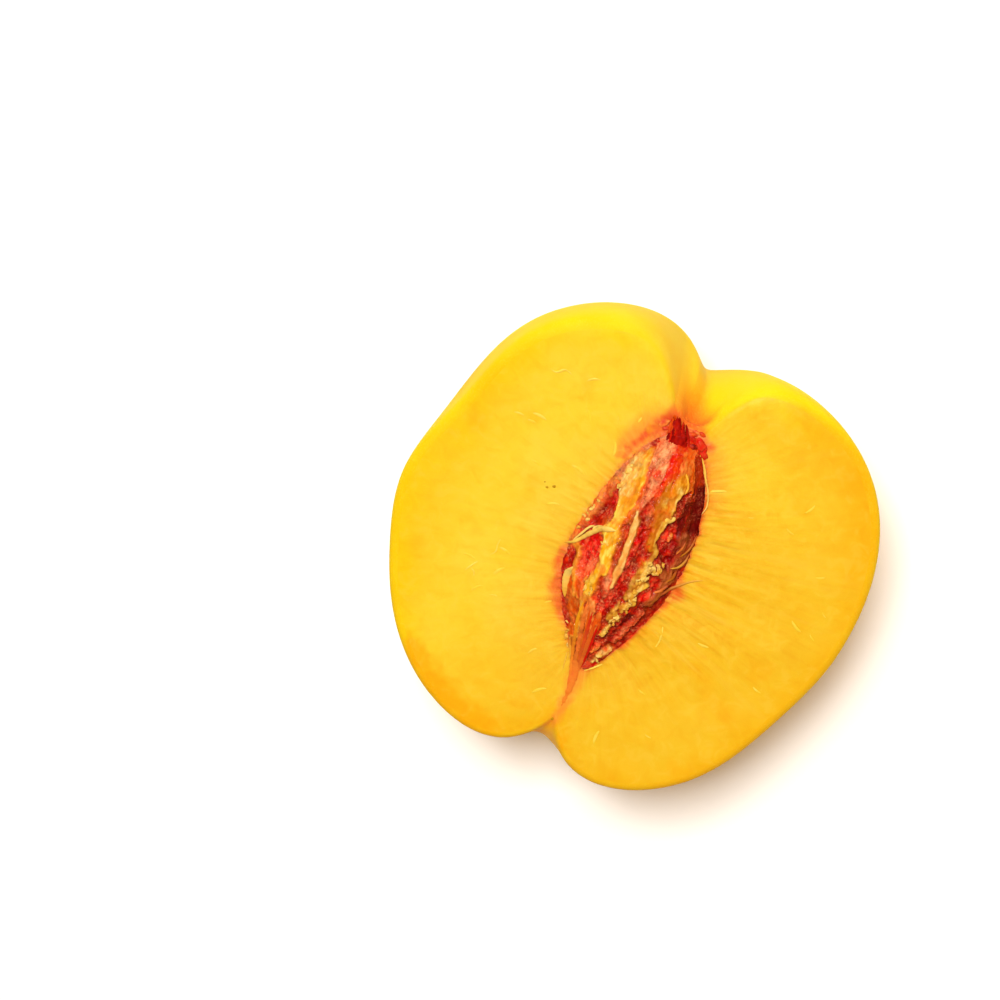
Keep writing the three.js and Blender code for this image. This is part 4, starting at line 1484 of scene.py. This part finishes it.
PALE_STRANDS = tuple(Strand(*row) for row in (
    # The broad pale fibre that crosses the stone's left side, and its forked start.
    (((-10, -3.1, 0.1), (-8.9, -1.9, 0.4), (-8.1, -0.7, 0.4), (-7.5, 0.5, 0.3), (-6.7, 1.8, 0.3),
      (-5.8, 2.9, 0.2), (-4.6, 3.5, 0.1)), (0.14, 0.24, 0.34, 0.36, 0.4, 0.45, 0.3)),
    (((-9.2, -2, 0.3), (-8.6, -0.4, 0.7), (-7.9, 1.2, 0.7), (-7.1, 2, 0.5)),
     (0.08, 0.16, 0.2, 0.14), "fibre_pale"),
    (((-7.5, 1.4, 0.6), (-6.7, 2.5, 0.5), (-5.7, 3.4, 0.2)), (0.16, 0.2, 0.12), "fibre_pale"),
    # The thin strand over the dark wall at the upper right.
    (((2.4, 17.4, 0.1), (3.4, 16.1, 0.2), (4.4, 14.5, 0.25), (5.5, 12.9, 0.25), (6.3, 10.9, 0.2),
      (6.1, 9.4, 0.1)), (0.12, 0.19, 0.16, 0.12, 0.11, 0.07)),
    # The curl on the flesh at the upper right, and its cream tip.
    (((1, 15, -0.05), (1.7, 14.2, 0.03), (2.2, 13.2, 0.03), (2.2, 12.2, -0.05)),
     (0.1, 0.2, 0.18, 0.1), "yellow", "fibre"),
    (((0.9, 8, -0.1), (1.8, 7.9, 0.1), (2.4, 8.5, 0.15)), (0.3, 0.42, 0.25)),
    # The fibre that runs from the brown flap out over the flesh, and curls round the flap.
    (((6, -4, 0.1), (7, -2.8, 0.2), (8.4, -1.5, 0.1), (9.8, -0.5, 0.05), (11, 0.1, -0.05)),
     (0.22, 0.22, 0.15, 0.08), "brown", "fibre"),
    (((6.9, 6.2, 0), (6.9, 4.8, 0.1), (6.5, 3.4, 0.1), (5.8, 2.6, 0)),
     (0.08, 0.18, 0.15, 0.08), "brown", "olive_dark"),
    (((5.6, 5.2, 0), (5.5, 4, 0.1), (5.1, 2.8, 0)), (0.08, 0.17, 0.08), "brown", "rim_orange"),
    (((7.1, 3.2, 0), (7, 1.9, 0.1), (6.4, 1, 0.1), (5.2, 0.7, 0)),
     (0.08, 0.16, 0.18, 0.08), "brown", "fibre"),
    (((6.4, 0.4, 0), (6.3, -0.8, 0.1), (5.4, -1.6, 0)), (0.14, 0.26, 0.12), "mauve", "olive_dark"),
    (((6.2, -2, 0), (5.4, -3.2, 0.1), (4.6, -3.8, 0)), (0.14, 0.26, 0.12), "mauve", "rim_orange"),
    # Shreds low on the left.
    (((-3.3, -15.6, 0), (-2.9, -17, 0.1), (-2.2, -18.3, 0.1), (-1.9, -19.6, 0)),
     (0.12, 0.2, 0.12), "orange", "fibre"),
    (((-2.6, -18.6, 0), (-2.3, -20.2, 0.05), (-2, -21.6, -0.04)), (0.08, 0.12, 0.08), "fibre", "fibre"),
    # Fine raised marks on the cut face.
    (((-23.1, 20.5, -0.1), (-21.7, 20.1, -0.04), (-20.5, 21, -0.04), (-19, 20.4, -0.1)),
     (0.1, 0.2, 0.12), "mark", "face_pale"),
    (((-17.4, 20.3, -0.1), (-16.4, 21.4, -0.04), (-14.7, 21.9, -0.1)), (0.1, 0.2, 0.1), "mark", "face_pale"),
    (((-21.7, -13.7, -0.1), (-21, -12.3, -0.03), (-20.1, -10.8, -0.1)),
     (0.1, 0.18, 0.12), "mark", "face_pale"),
    (((-21, -12.3, -0.08), (-20.1, -13, -0.04), (-19.9, -13.9, -0.1)),
     (0.1, 0.16, 0.08), "mark", "face_pale"),
    (((-7.9, -21.8, -0.1), (-7.4, -20.7, -0.03), (-6.5, -19.9, -0.1)),
     (0.1, 0.18, 0.1), "mark", "face_pale"),
    (((8.4, -8.8, -0.1), (8.9, -10.4, -0.03), (9, -12, -0.03), (8.6, -13.2, -0.1)),
     (0.1, 0.16, 0.1), "mark", "mark"),
    (((3.2, -18.1, -0.08), (2.1, -19.2, -0.02), (0.9, -20.4, -0.08)), (0.1, 0.16, 0.08), "mark", "mark"),
    (((5.9, 13, -0.02), (7, 13.5, 0), (8.2, 14, -0.08)), (0.16, 0.2, 0.1), "mark", "mark"),
    (((-18.6, -6, -0.1), (-18.7, -7.4, -0.05), (-18.6, -8.8, -0.05), (-19.8, -10.2, -0.12)),
     (0.1, 0.15, 0.14, 0.08), "mark", "mark"),
))
CREAM_FLAKE = Strand(
    ((-7.6, -5.2, 0.0), (-7.7, -6.8, 0.25), (-7.5, -8.1, 0.3), (-7.1, -9.4, 0.3), (-6.6, -10.5, 0.1)),
    (0.25, 0.62, 0.6, 0.42, 0.2), "fibre_pale", "olive")
TIP_STRANDS = tuple(Strand(*row) for row in (
    (((-1.5, -16.6, -0.2), (-0.7, -19.4, -0.1), (0, -22.4, -0.12), (0.2, -25.6, -0.15), (0.1, -29.8, -0.2)),
     (0.4, 0.75, 0.6, 0.42, 0.26), "strand", "orange"),
    (((-4.3, -8.6, -0.05), (-3.7, -12.2, 0), (-2.7, -15.6, 0), (-1.7, -18.8, 0.02), (-0.7, -21.8, 0),
      (-0.2, -24.6, -0.1)), (0.16, 0.26, 0.28, 0.26, 0.16), "yellow", "strand"),
    (((-3.8, -8, -0.05), (-3.1, -11.4, 0), (-2.2, -14.6, 0.05), (-1.3, -17.8, 0.05), (-0.4, -21.5, 0.02),
      (0.1, -26, -0.1)), (0.2, 0.34, 0.36, 0.34, 0.26, 0.14), "strand", "strand"),
    (((-3.1, -8.8, -0.05), (-2.4, -11.6, 0), (-1.6, -15, 0), (-0.9, -18, 0.02), (-0.1, -21.8, 0),
      (0.2, -25, -0.1)), (0.12, 0.22, 0.26, 0.22, 0.12), "orange_red", "orange"),
    (((-2.5, -9.4, -0.05), (-1.9, -12.5, 0), (-1.2, -15.8, 0), (-0.5, -19, 0), (0.1, -22.3, -0.1)),
     (0.14, 0.28, 0.3, 0.28, 0.14), "wet_red", "strand"),
    (((-1.7, -10, -0.05), (-1.1, -13, 0), (-0.6, -16.4, 0.02), (-0.1, -19.4, 0), (0.3, -22, -0.1)),
     (0.16, 0.32, 0.34, 0.3, 0.14), "orange_red", "strand"),
    (((-0.8, -11.4, -0.05), (-0.4, -14.6, 0), (0, -17.6, 0), (0.3, -20.4, -0.1)),
     (0.14, 0.26, 0.26, 0.12), "wet_red", "wet_red"),
))
# The torn tuft at the stem end: the line that its strands start on, the point that they lean to,
# how many they are, and the tones of their two ends.
SCAR_BASE = ((-3.0, 17.6), (-0.3, 18.1))
SCAR_POINT = (-3.9, 21.9)
SCAR_STRANDS = 36
SCAR_TONES = (("scar", "scar_dark"), ("scar_dark", "scar"), ("wet_red", "scar"),
              ("scar_dark", "scar_dark"), ("scar", "orange_red"))
# The mounds that it grows from: x, y, height, half lengths, turn and tone.
SCAR_MOUNDS = (
    (-1.6, 18.3, -0.15, (1.1, 1.3, 0.4), 0.3, "scar_dark"),
    (-2.5, 19.3, -0.15, (0.8, 1.6, 0.4), 0.45, "scar_dark"),
)
# Smooth lumps beside it: x, y, height, half lengths, turn and tone.
STEM_LUMPS = (
    (1.6, 18.8, 0.0, (1.2, 0.75, 0.6), -0.55, "lump"),
    (2.5, 17.8, 0.0, (0.85, 0.5, 0.5), -0.8, "lump"),
    (-0.3, 19.6, 0.0, (0.8, 0.3, 0.3), 0.3, "orange_red"),
    (0.5, 20.1, 0.0, (0.7, 0.25, 0.25), 0.0, "rim_orange"),
    (1.2, 20.2, 0.0, (0.55, 0.3, 0.25), -0.4, "orange_red"),
    (0.5, 18.5, -0.05, (0.6, 0.4, 0.35), 0.3, "scar_dark"),
    (0.1, 19.2, 0.0, (0.6, 0.3, 0.3), -0.2, "scar"),
    (-4.6, 19.5, -0.1, (1.1, 0.5, 0.35), 0.9, "halo_orange"),
    (-4.0, 19.0, -0.1, (0.6, 0.35, 0.3), 0.5, "pink_red"),
)
# Small specks on the face: x, y, radius.
SPECKS = ((-0.25, -29.6, 0.26), (-15.8, 3.7, 0.2), (-14.9, 4.2, 0.24), (-16.4, 4.3, 0.12))
# Ridges that carry crumbs: start, end and how many.
CRUMB_RUNS = (
    ((1.9, 1.6), (2.0, -1.4), 6), ((1.6, -1.6), (2.1, -5.2), 10), ((2.0, -5.6), (1.1, -9.2), 8),
    ((1.1, -9.4), (0.5, -12.6), 5), ((3.6, 1.6), (3.8, -0.6), 8), ((-6.3, 12.2), (-6.3, 8.6), 3),
    ((-5.8, 2.6), (-4.6, 0.4), 3), ((-4.7, -5.4), (-4.2, -7.2), 3), ((2.9, -15.6), (1.4, -18.2), 3),
    ((-5.2, -13.0), (-2.8, -17.6), 6), ((-8.2, 5.4), (-9.2, 0.0), 7),
)
# How far crumbs stray from their ridge across and along it, and how deep they sit.
CRUMB_STRAY = (0.28, 0.2)
CRUMB_SINK = 0.02
# Turns and sizes that crumbs get at random, on each axis.
CRUMB_TURNS = ((-0.4, -0.4, 0.0), (0.4, 0.4, 6.28))
CRUMB_SIZES = ((0.4, 0.3, 0.25), (2.2, 1.2, 0.8))
# How far a crumb's form is pushed about, as a share of its size.
CRUMB_SWELL = 1.1
# Turns from the run of the flesh and sizes that the marks in the face get at random.
MARK_TURNS = (-0.9, 0.9)
MARK_SIZES = (0.4, 1.2)
# Where marks lie: down to this height, out to this reach, and only where streaks are weaker than this.
MARK_FLOOR = -0.5
MARK_REACH = 31.0
MARK_NEAR = 0.75
# Area of the face that the marks are spread over, in square metres.
MARK_AREA = 3.0e-3


def lay_strands(name, finish, strands, surface, noise, **form):
    """One piece made of strands that lie on the surface."""
    body = Body()
    for path, widths, tone, end_tone in strands:
        body.add(strand(surface, path, widths, noise, **form), tone, end_tone)
    return body.piece(name, finish, "cut_flesh")


def build_strands():
    surface = Surface()
    noise = Noise(SEEDS["strands"])
    lay_strands("pale_fibres", shred_material("pale_fibre"), PALE_STRANDS, surface, noise)
    lay_strands("cream_flake", shred_material("cream_flake"), (CREAM_FLAKE,), surface, noise,
                flatness=0.3, ragged=0.12, sides=14)
    lay_strands("tip_strands", shred_material("tip_strand", (0.95, 0.72, 0.55)), TIP_STRANDS,
                surface, noise, flatness=0.4, ragged=0.15, sides=12)


def scar_strand(share, draw, surface, noise):
    """One torn strand that starts at a share of the base line and leans to the point."""
    foot = mix(*np.array(SCAR_BASE), share) + draw.normal(0, 0.15, 2)
    straight = foot + (-0.2 - 0.7 * draw.random(), 1.0 + 1.6 * draw.random())
    lean = draw.uniform(0.2, 0.95) * (1 - 0.7 * share)
    head = mix(straight, np.array(SCAR_POINT), lean) + draw.normal(0, 0.15, 2)
    middle = mix(foot, head, 0.5) + draw.normal(0, 0.2, 2)
    raised = draw.uniform(0.0, 0.3)
    path = ((*foot, -0.5), (*middle, raised), (*head, -0.1 + 0.25 * draw.random()))
    width = draw.uniform(0.14, 0.32)
    tones = SCAR_TONES[draw.integers(len(SCAR_TONES))]
    widths = (0.8 * width, width, 0.7 * width, 0.1)
    return strand(surface, path, widths, noise, flatness=0.45, ragged=0.6), tones


def build_scar():
    surface = Surface()
    noise = Noise(SEEDS["scar"])
    scar = Body()
    for x, y, height, reach, turn, tone in SCAR_MOUNDS:
        scar.add(lump(surface, x, y, height, reach, noise, turn, 0.3, 0.6), tone, "scar")
    draw = np.random.default_rng(SEEDS["scar_strands"])
    for share in draw.permutation(SCAR_STRANDS) / (SCAR_STRANDS - 1):
        part, tones = scar_strand(share, draw, surface, noise)
        scar.add(part, *tones)
    scar.piece("stem_scar", shred_material("stem_scar", (0.9, 0.62, 0.5), 0.05), "stone")
    shreds = Body()
    for x, y, height, reach, turn, tone in STEM_LUMPS:
        shreds.add(lump(surface, x, y, height, reach, noise, turn, 0.32, 0.8), tone, "pink_red")
    shreds.piece("stem_shreds", shred_material("stem_shred", (0.8, 0.5, 0.5)), "cut_flesh")
    specks = Body()
    for x, y, radius in SPECKS:
        reach = (radius, radius, 0.35 * radius)
        specks.add(lump(surface, x, y, 0.0, reach, noise, 0.0, 0.3, 0.3, 3), "speck")
    specks.piece("dark_specks", shred_material("dark_speck", (0.7, 0.6, 0.4)), "cut_flesh")


# ---- Geometry Nodes ----

def new_group(name, inputs):
    """A geometry tree with named inputs: (name, socket kind, default)."""
    group = bpy.data.node_groups.new(name, "GeometryNodeTree")
    group.interface.new_socket(name="Geometry", in_out="INPUT", socket_type="NodeSocketGeometry")
    group.interface.new_socket(name="Geometry", in_out="OUTPUT", socket_type="NodeSocketGeometry")
    for label, kind, default in inputs:
        socket = group.interface.new_socket(name=label, in_out="INPUT", socket_type="NodeSocket" + kind)
        socket.default_value = default
    tree = Tree(group, "GeometryNode")
    start = tree.add("NodeGroupInput")
    return group, tree, {socket.name: Wire(tree, socket) for socket in start.outputs if socket.name}


def close_group(tree, instances, material):
    """Ends a tree in realized instances with their material."""
    real = tree.wire("RealizeInstances", None, {"Geometry": instances})
    shaded = tree.wire("SetShadeSmooth", None, {"Geometry": real})
    dressed = tree.wire("SetMaterial", None, {"Geometry": shaded, "Material": material})
    output = tree.add("NodeGroupOutput")
    tree.tree.links.new(dressed.socket, output.inputs["Geometry"])


def grow(name, source, group, values, tones, material):
    """Runs a geometry tree on a mesh and keeps the result as a plain piece."""
    holder = bpy.data.objects.new(name + "_source", source)
    bpy.context.scene.collection.objects.link(holder)
    modifier = holder.modifiers.new("grow", "NODES")
    modifier.node_group = group
    for socket in group.interface.items_tree:
        if socket.in_out == "INPUT" and socket.name in values:
            modifier[socket.identifier] = values[socket.name]
    depsgraph = bpy.context.evaluated_depsgraph_get()
    mesh = bpy.data.meshes.new_from_object(holder.evaluated_get(depsgraph))
    holder.modifiers.clear()
    bpy.data.objects.remove(holder)
    mesh.name = name
    mesh.materials.clear()
    share = ramp(-0.5, 0.5, Noise(SEEDS["grown"]).layered(millimetres(mesh), 1.4, 2))
    if "tone" in mesh.attributes:
        mesh.attributes.remove(mesh.attributes["tone"])
    start, end = tones
    tone = tint(plain(start, len(share)), TONES[end], share)
    store_tone(mesh, tone)
    return settle(name, mesh, [material])


def random_value(tree, low, high, seed):
    """A random number, or a random vector between two given ones."""
    if isinstance(low, tuple):
        sockets = {0: low, 1: high, "Seed": seed}
        return tree.wire("FunctionNodeRandomValue", {"data_type": "FLOAT_VECTOR"}, sockets)
    sockets = {2: low, 3: high, "Seed": seed}
    return tree.wire("FunctionNodeRandomValue", {"data_type": "FLOAT"}, sockets, output=1)


def crumb_group(material):
    """Uneven crumbs on each point of a cloud."""
    group, tree, given = new_group("crumbs", (("Size", "Float", 0.0006), ("Seed", "Int", 0)))
    ball = tree.wire("MeshIcoSphere", None, {"Radius": given["Size"] * 0.5, "Subdivisions": 3})
    turn = random_value(tree, *CRUMB_TURNS, given["Seed"])
    size = random_value(tree, *CRUMB_SIZES, given["Seed"] + 1)
    instances = tree.wire("InstanceOnPoints", None, {
        "Points": given["Geometry"], "Instance": ball, "Rotation": turn, "Scale": size})
    real = tree.wire("RealizeInstances", None, {"Geometry": instances})
    where = tree.wire("InputPosition")
    swell = tree.add("ShaderNodeTexNoise", None, {"Vector": where, "Scale": 2600.0, "Detail": 2.0})
    push = tree.wire("ShaderNodeVectorMath", {"operation": "SUBTRACT"},
                     {0: Wire(tree, swell.outputs["Color"]), 1: (0.5, 0.5, 0.5)})
    offset = tree.wire("ShaderNodeVectorMath", {"operation": "SCALE"},
                       {0: push, "Scale": given["Size"] * CRUMB_SWELL})
    moved = tree.wire("SetPosition", None, {"Geometry": real, "Offset": offset})
    close_group(tree, moved, material)
    return group


def fibre_group(material):
    """Soft pale slivers that lie roughly along the fan of the flesh, half sunk in the cut face."""
    group, tree, given = new_group("face_fibres", (
        ("Density", "Float", 1e5), ("Length", "Float", 0.002), ("Thickness", "Float", 0.0004),
        ("Seed", "Int", 0)))
    chance = tree.wire("InputNamedAttribute", {"data_type": "FLOAT"}, {"Name": "fibre_chance"})
    scatter = tree.add("DistributePointsOnFaces", {"distribute_method": "RANDOM"}, {
        "Mesh": given["Geometry"], "Density": given["Density"] * chance, "Seed": given["Seed"]})
    ball = tree.wire("MeshIcoSphere", None, {"Radius": 1.0, "Subdivisions": 3})
    parts = tree.add("ShaderNodeSeparateXYZ", None, {0: tree.wire("InputPosition")})
    x, y, z = (Wire(tree, output) for output in parts.outputs)
    half = given["Thickness"] * 0.5
    bent = tree.wire("ShaderNodeCombineXYZ", None, {
        0: x * (given["Length"] * 0.5), 1: y * half + x * x * half * 0.8, 2: z * (half * 0.3)})
    sliver = tree.wire("SetPosition", None, {"Geometry": ball, "Position": bent})
    fan = tree.wire("InputNamedAttribute", {"data_type": "FLOAT_VECTOR"}, {"Name": "fan"})
    split = tree.add("ShaderNodeSeparateXYZ", None, {0: fan})
    across, along = (Wire(tree, split.outputs[axis]) for axis in (1, 0))
    bearing = tree.wire("ShaderNodeMath", {"operation": "ARCTAN2"}, {0: along, 1: across})
    spin = random_value(tree, *MARK_TURNS, given["Seed"] + 2)
    turned = tree.wire("ShaderNodeCombineXYZ", None, {0: 0.0, 1: 0.0, 2: bearing + spin})
    size = random_value(tree, *MARK_SIZES, given["Seed"] + 3)
    instances = tree.wire("InstanceOnPoints", None, {
        "Points": Wire(tree, scatter.outputs["Points"]), "Instance": sliver, "Rotation": turned,
        "Scale": size})
    close_group(tree, instances, material)
    return group


def build_crumbs(settings):
    surface = Surface()
    draw = np.random.default_rng(settings.seed)
    points = []
    for start, end, count in CRUMB_RUNS:
        share = draw.random(count)
        x, y = (start[axis] + (end[axis] - start[axis]) * share + draw.normal(0, CRUMB_STRAY[axis], count)
                for axis in (0, 1))
        points += list(np.stack([x, y, surface.at(x, y) - CRUMB_SINK], -1))
    cloud = bpy.data.meshes.new("crumb_places")
    cloud.from_pydata(place(points).tolist(), [], [])
    material = shred_material("crumb", (0.85, 0.6, 0.4))
    values = {"Size": settings.crumb_size, "Seed": settings.seed}
    grow("flesh_crumbs", cloud, crumb_group(material), values, ("olive", "fibre_pale"), material)


def build_fibres(settings):
    material = shred_material("face_mark", (0.95, 0.85, 0.6))
    flesh = bpy.data.objects["peach_flesh"].data.copy()
    near = np.empty(len(flesh.vertices))
    flesh.attributes["near"].data.foreach_get("value", near)
    x, y, height = (millimetres(flesh) - MIDDLE).T
    chance = (height > MARK_FLOOR) & (np.hypot(x, y) < MARK_REACH) & (near < MARK_NEAR)
    store(flesh, "fibre_chance", "FLOAT", chance)
    values = {"Density": settings.count / MARK_AREA, "Length": settings.length,
              "Thickness": settings.thickness, "Seed": settings.seed}
    grow("face_fibres", flesh, fibre_group(material), values, ("face", "mark"), material)


# ---- Operators ----

class PEACH_OT_flesh(bpy.types.Operator):
    """Builds the flesh with its cut face, skin and hollow"""
    bl_idname = "peach.flesh"
    bl_label = "Flesh and skin"

    def execute(self, context):
        build_flesh(context.scene.peach_half.flesh)
        return {"FINISHED"}


class PEACH_OT_stone(bpy.types.Operator):
    """Builds the stone with its pits, ridges and clinging flesh"""
    bl_idname = "peach.stone"
    bl_label = "Stone"

    def execute(self, context):
        build_stone(context.scene.peach_half.stone)
        return {"FINISHED"}


class PEACH_OT_strands(bpy.types.Operator):
    """Lays the pale fibres, the cream flake and the strands at the tip"""
    bl_idname = "peach.strands"
    bl_label = "Strands and flake"

    def execute(self, context):
        build_strands()
        return {"FINISHED"}


class PEACH_OT_scar(bpy.types.Operator):
    """Builds the torn tuft and the red lumps at the stem end, and the small specks"""
    bl_idname = "peach.scar"
    bl_label = "Stem scar and specks"

    def execute(self, context):
        build_scar()
        return {"FINISHED"}


class PEACH_OT_crumbs(bpy.types.Operator):
    """Scatters crumbs of flesh along the ridges of the stone"""
    bl_idname = "peach.crumbs"
    bl_label = "Crumbs"

    def execute(self, context):
        build_crumbs(context.scene.peach_half.fibres)
        return {"FINISHED"}


class PEACH_OT_fibres(bpy.types.Operator):
    """Scatters faint raised marks over the cut face, away from the stone"""
    bl_idname = "peach.fibres"
    bl_label = "Face fibres"

    def execute(self, context):
        build_fibres(context.scene.peach_half.fibres)
        return {"FINISHED"}


# ---- Stage ----

# The camera looks at this place on the cut face, from this direction, turned about its own axis.
CAMERA_AIM = (-21.16, -1.03, 0.0)
CAMERA_BACK = (-0.0864, 0.3415, 0.9359)
CAMERA_UP = (-0.3949, 0.8507, -0.3469)
SENSOR = 36.0
# Both lamps stand this far from the middle of the cut face, in these directions.
LAMP_DISTANCE = 1800.0
KEY_FROM = (-0.278, 0.425, 0.862)
KEY_SIDE = 520.0
KEY_COLOUR = (1.0, 0.99, 0.97)
WARM_FROM = (0.62, -0.28, 0.74)
WARM_SIDE = 1800.0
WARM_COLOUR = (1.0, 0.52, 0.17)
FILL_COLOUR = (1.0, 0.74, 0.42)
FLOOR_GLOW = (1.0, 0.74, 0.5)
FLOOR_MOTTLE = 0.985


def looking(place_mm, back, up):
    """A matrix that stands at a place and looks away from back."""
    back = Vector(back).normalized()
    right = Vector(up).cross(back).normalized()
    up = back.cross(right)
    turned = Matrix((right, up, back)).transposed().to_4x4()
    return Matrix.Translation(place([place_mm])[0]) @ turned


class PEACH_OT_stage(bpy.types.Operator):
    """Sets the floor, the soft lights and the camera"""
    bl_idname = "peach.stage"
    bl_label = "Floor, lights and camera"

    def execute(self, context):
        settings = context.scene.peach_half.stage
        context.scene.view_settings.view_transform = "Standard"
        self.floor(settings)
        self.lights(context, settings)
        self.camera(context, settings)
        return {"FINISHED"}

    def floor(self, settings):
        half = settings.floor_half
        mesh = bpy.data.meshes.new("floor")
        corners = [(-half, -half, 0), (half, -half, 0), (half, half, 0), (-half, half, 0)]
        mesh.from_pydata(corners, [], [(0, 1, 2, 3)])
        material, tree = new_material("floor")
        here = tree.wire("TexCoord", output="Object")
        mottled = tree.noise(here, 3.0, 2.0)
        pale = np.array(settings.floor_colour)
        colour = tree.blend(mottled, four(pale), four(FLOOR_MOTTLE * pale))
        finish_material(tree, Base_Color=colour, Roughness=0.6, Specular_IOR_Level=0.2,
                        Emission_Color=four(FLOOR_GLOW), Emission_Strength=settings.floor_glow)
        mesh.materials.append(material)
        floor = bpy.data.objects.new("floor", mesh)
        bpy.context.scene.collection.objects.link(floor)

    def lights(self, context, settings):
        world = bpy.data.worlds.new("studio")
        world.use_nodes = True
        background = world.node_tree.nodes["Background"]
        background.inputs["Color"].default_value = four(FILL_COLOUR)
        background.inputs["Strength"].default_value = settings.fill_strength
        context.scene.world = world
        self.lamp(context, "key", settings.key_power, KEY_COLOUR, KEY_FROM, KEY_SIDE)
        self.lamp(context, "warm", settings.warm_power, WARM_COLOUR, WARM_FROM, WARM_SIDE)

    def lamp(self, context, name, power, colour, towards, side):
        lamp = bpy.data.lights.new(name, "AREA")
        lamp.energy = power
        lamp.size = side * MM
        lamp.color = colour
        light = bpy.data.objects.new(name, lamp)
        towards = Vector(towards).normalized()
        light.matrix_world = looking(LAMP_DISTANCE * towards, towards, (0, 0, 1))
        context.scene.collection.objects.link(light)

    def camera(self, context, settings):
        lens = bpy.data.cameras.new("camera")
        lens.sensor_width = SENSOR
        lens.lens = settings.focal_length
        camera = bpy.data.objects.new("camera", lens)
        stand = Vector(CAMERA_AIM) + Vector(CAMERA_BACK) * (settings.camera_distance / MM)
        camera.matrix_world = looking(stand, CAMERA_BACK, CAMERA_UP)
        context.scene.collection.objects.link(camera)
        context.scene.camera = camera


OPERATORS = (PEACH_OT_flesh, PEACH_OT_stone, PEACH_OT_strands, PEACH_OT_scar, PEACH_OT_crumbs,
             PEACH_OT_fibres, PEACH_OT_stage)


class PEACH_PT_build(bpy.types.Panel):
    """Lists the steps that build the peach half"""
    bl_idname = "PEACH_PT_build"
    bl_label = "Peach half"
    bl_space_type = "VIEW_3D"
    bl_region_type = "UI"
    bl_category = "Peach half"

    def draw(self, context):
        for operator in OPERATORS:
            self.layout.operator(operator.bl_idname)


CLASSES = (PeachFleshSettings, PeachStoneSettings, PeachFibreSettings, PeachStageSettings, PeachSettings,
           *OPERATORS, PEACH_PT_build)


def register():
    for kind in CLASSES:
        bpy.utils.register_class(kind)
    bpy.types.Scene.peach_half = bpy.props.PointerProperty(type=PeachSettings)


def unregister():
    del bpy.types.Scene.peach_half
    for kind in reversed(CLASSES):
        bpy.utils.unregister_class(kind)


def main():
    register()
    for operator in OPERATORS:
        group, name = operator.bl_idname.split(".")
        getattr(getattr(bpy.ops, group), name)()


if __name__ == "__main__":
    main()
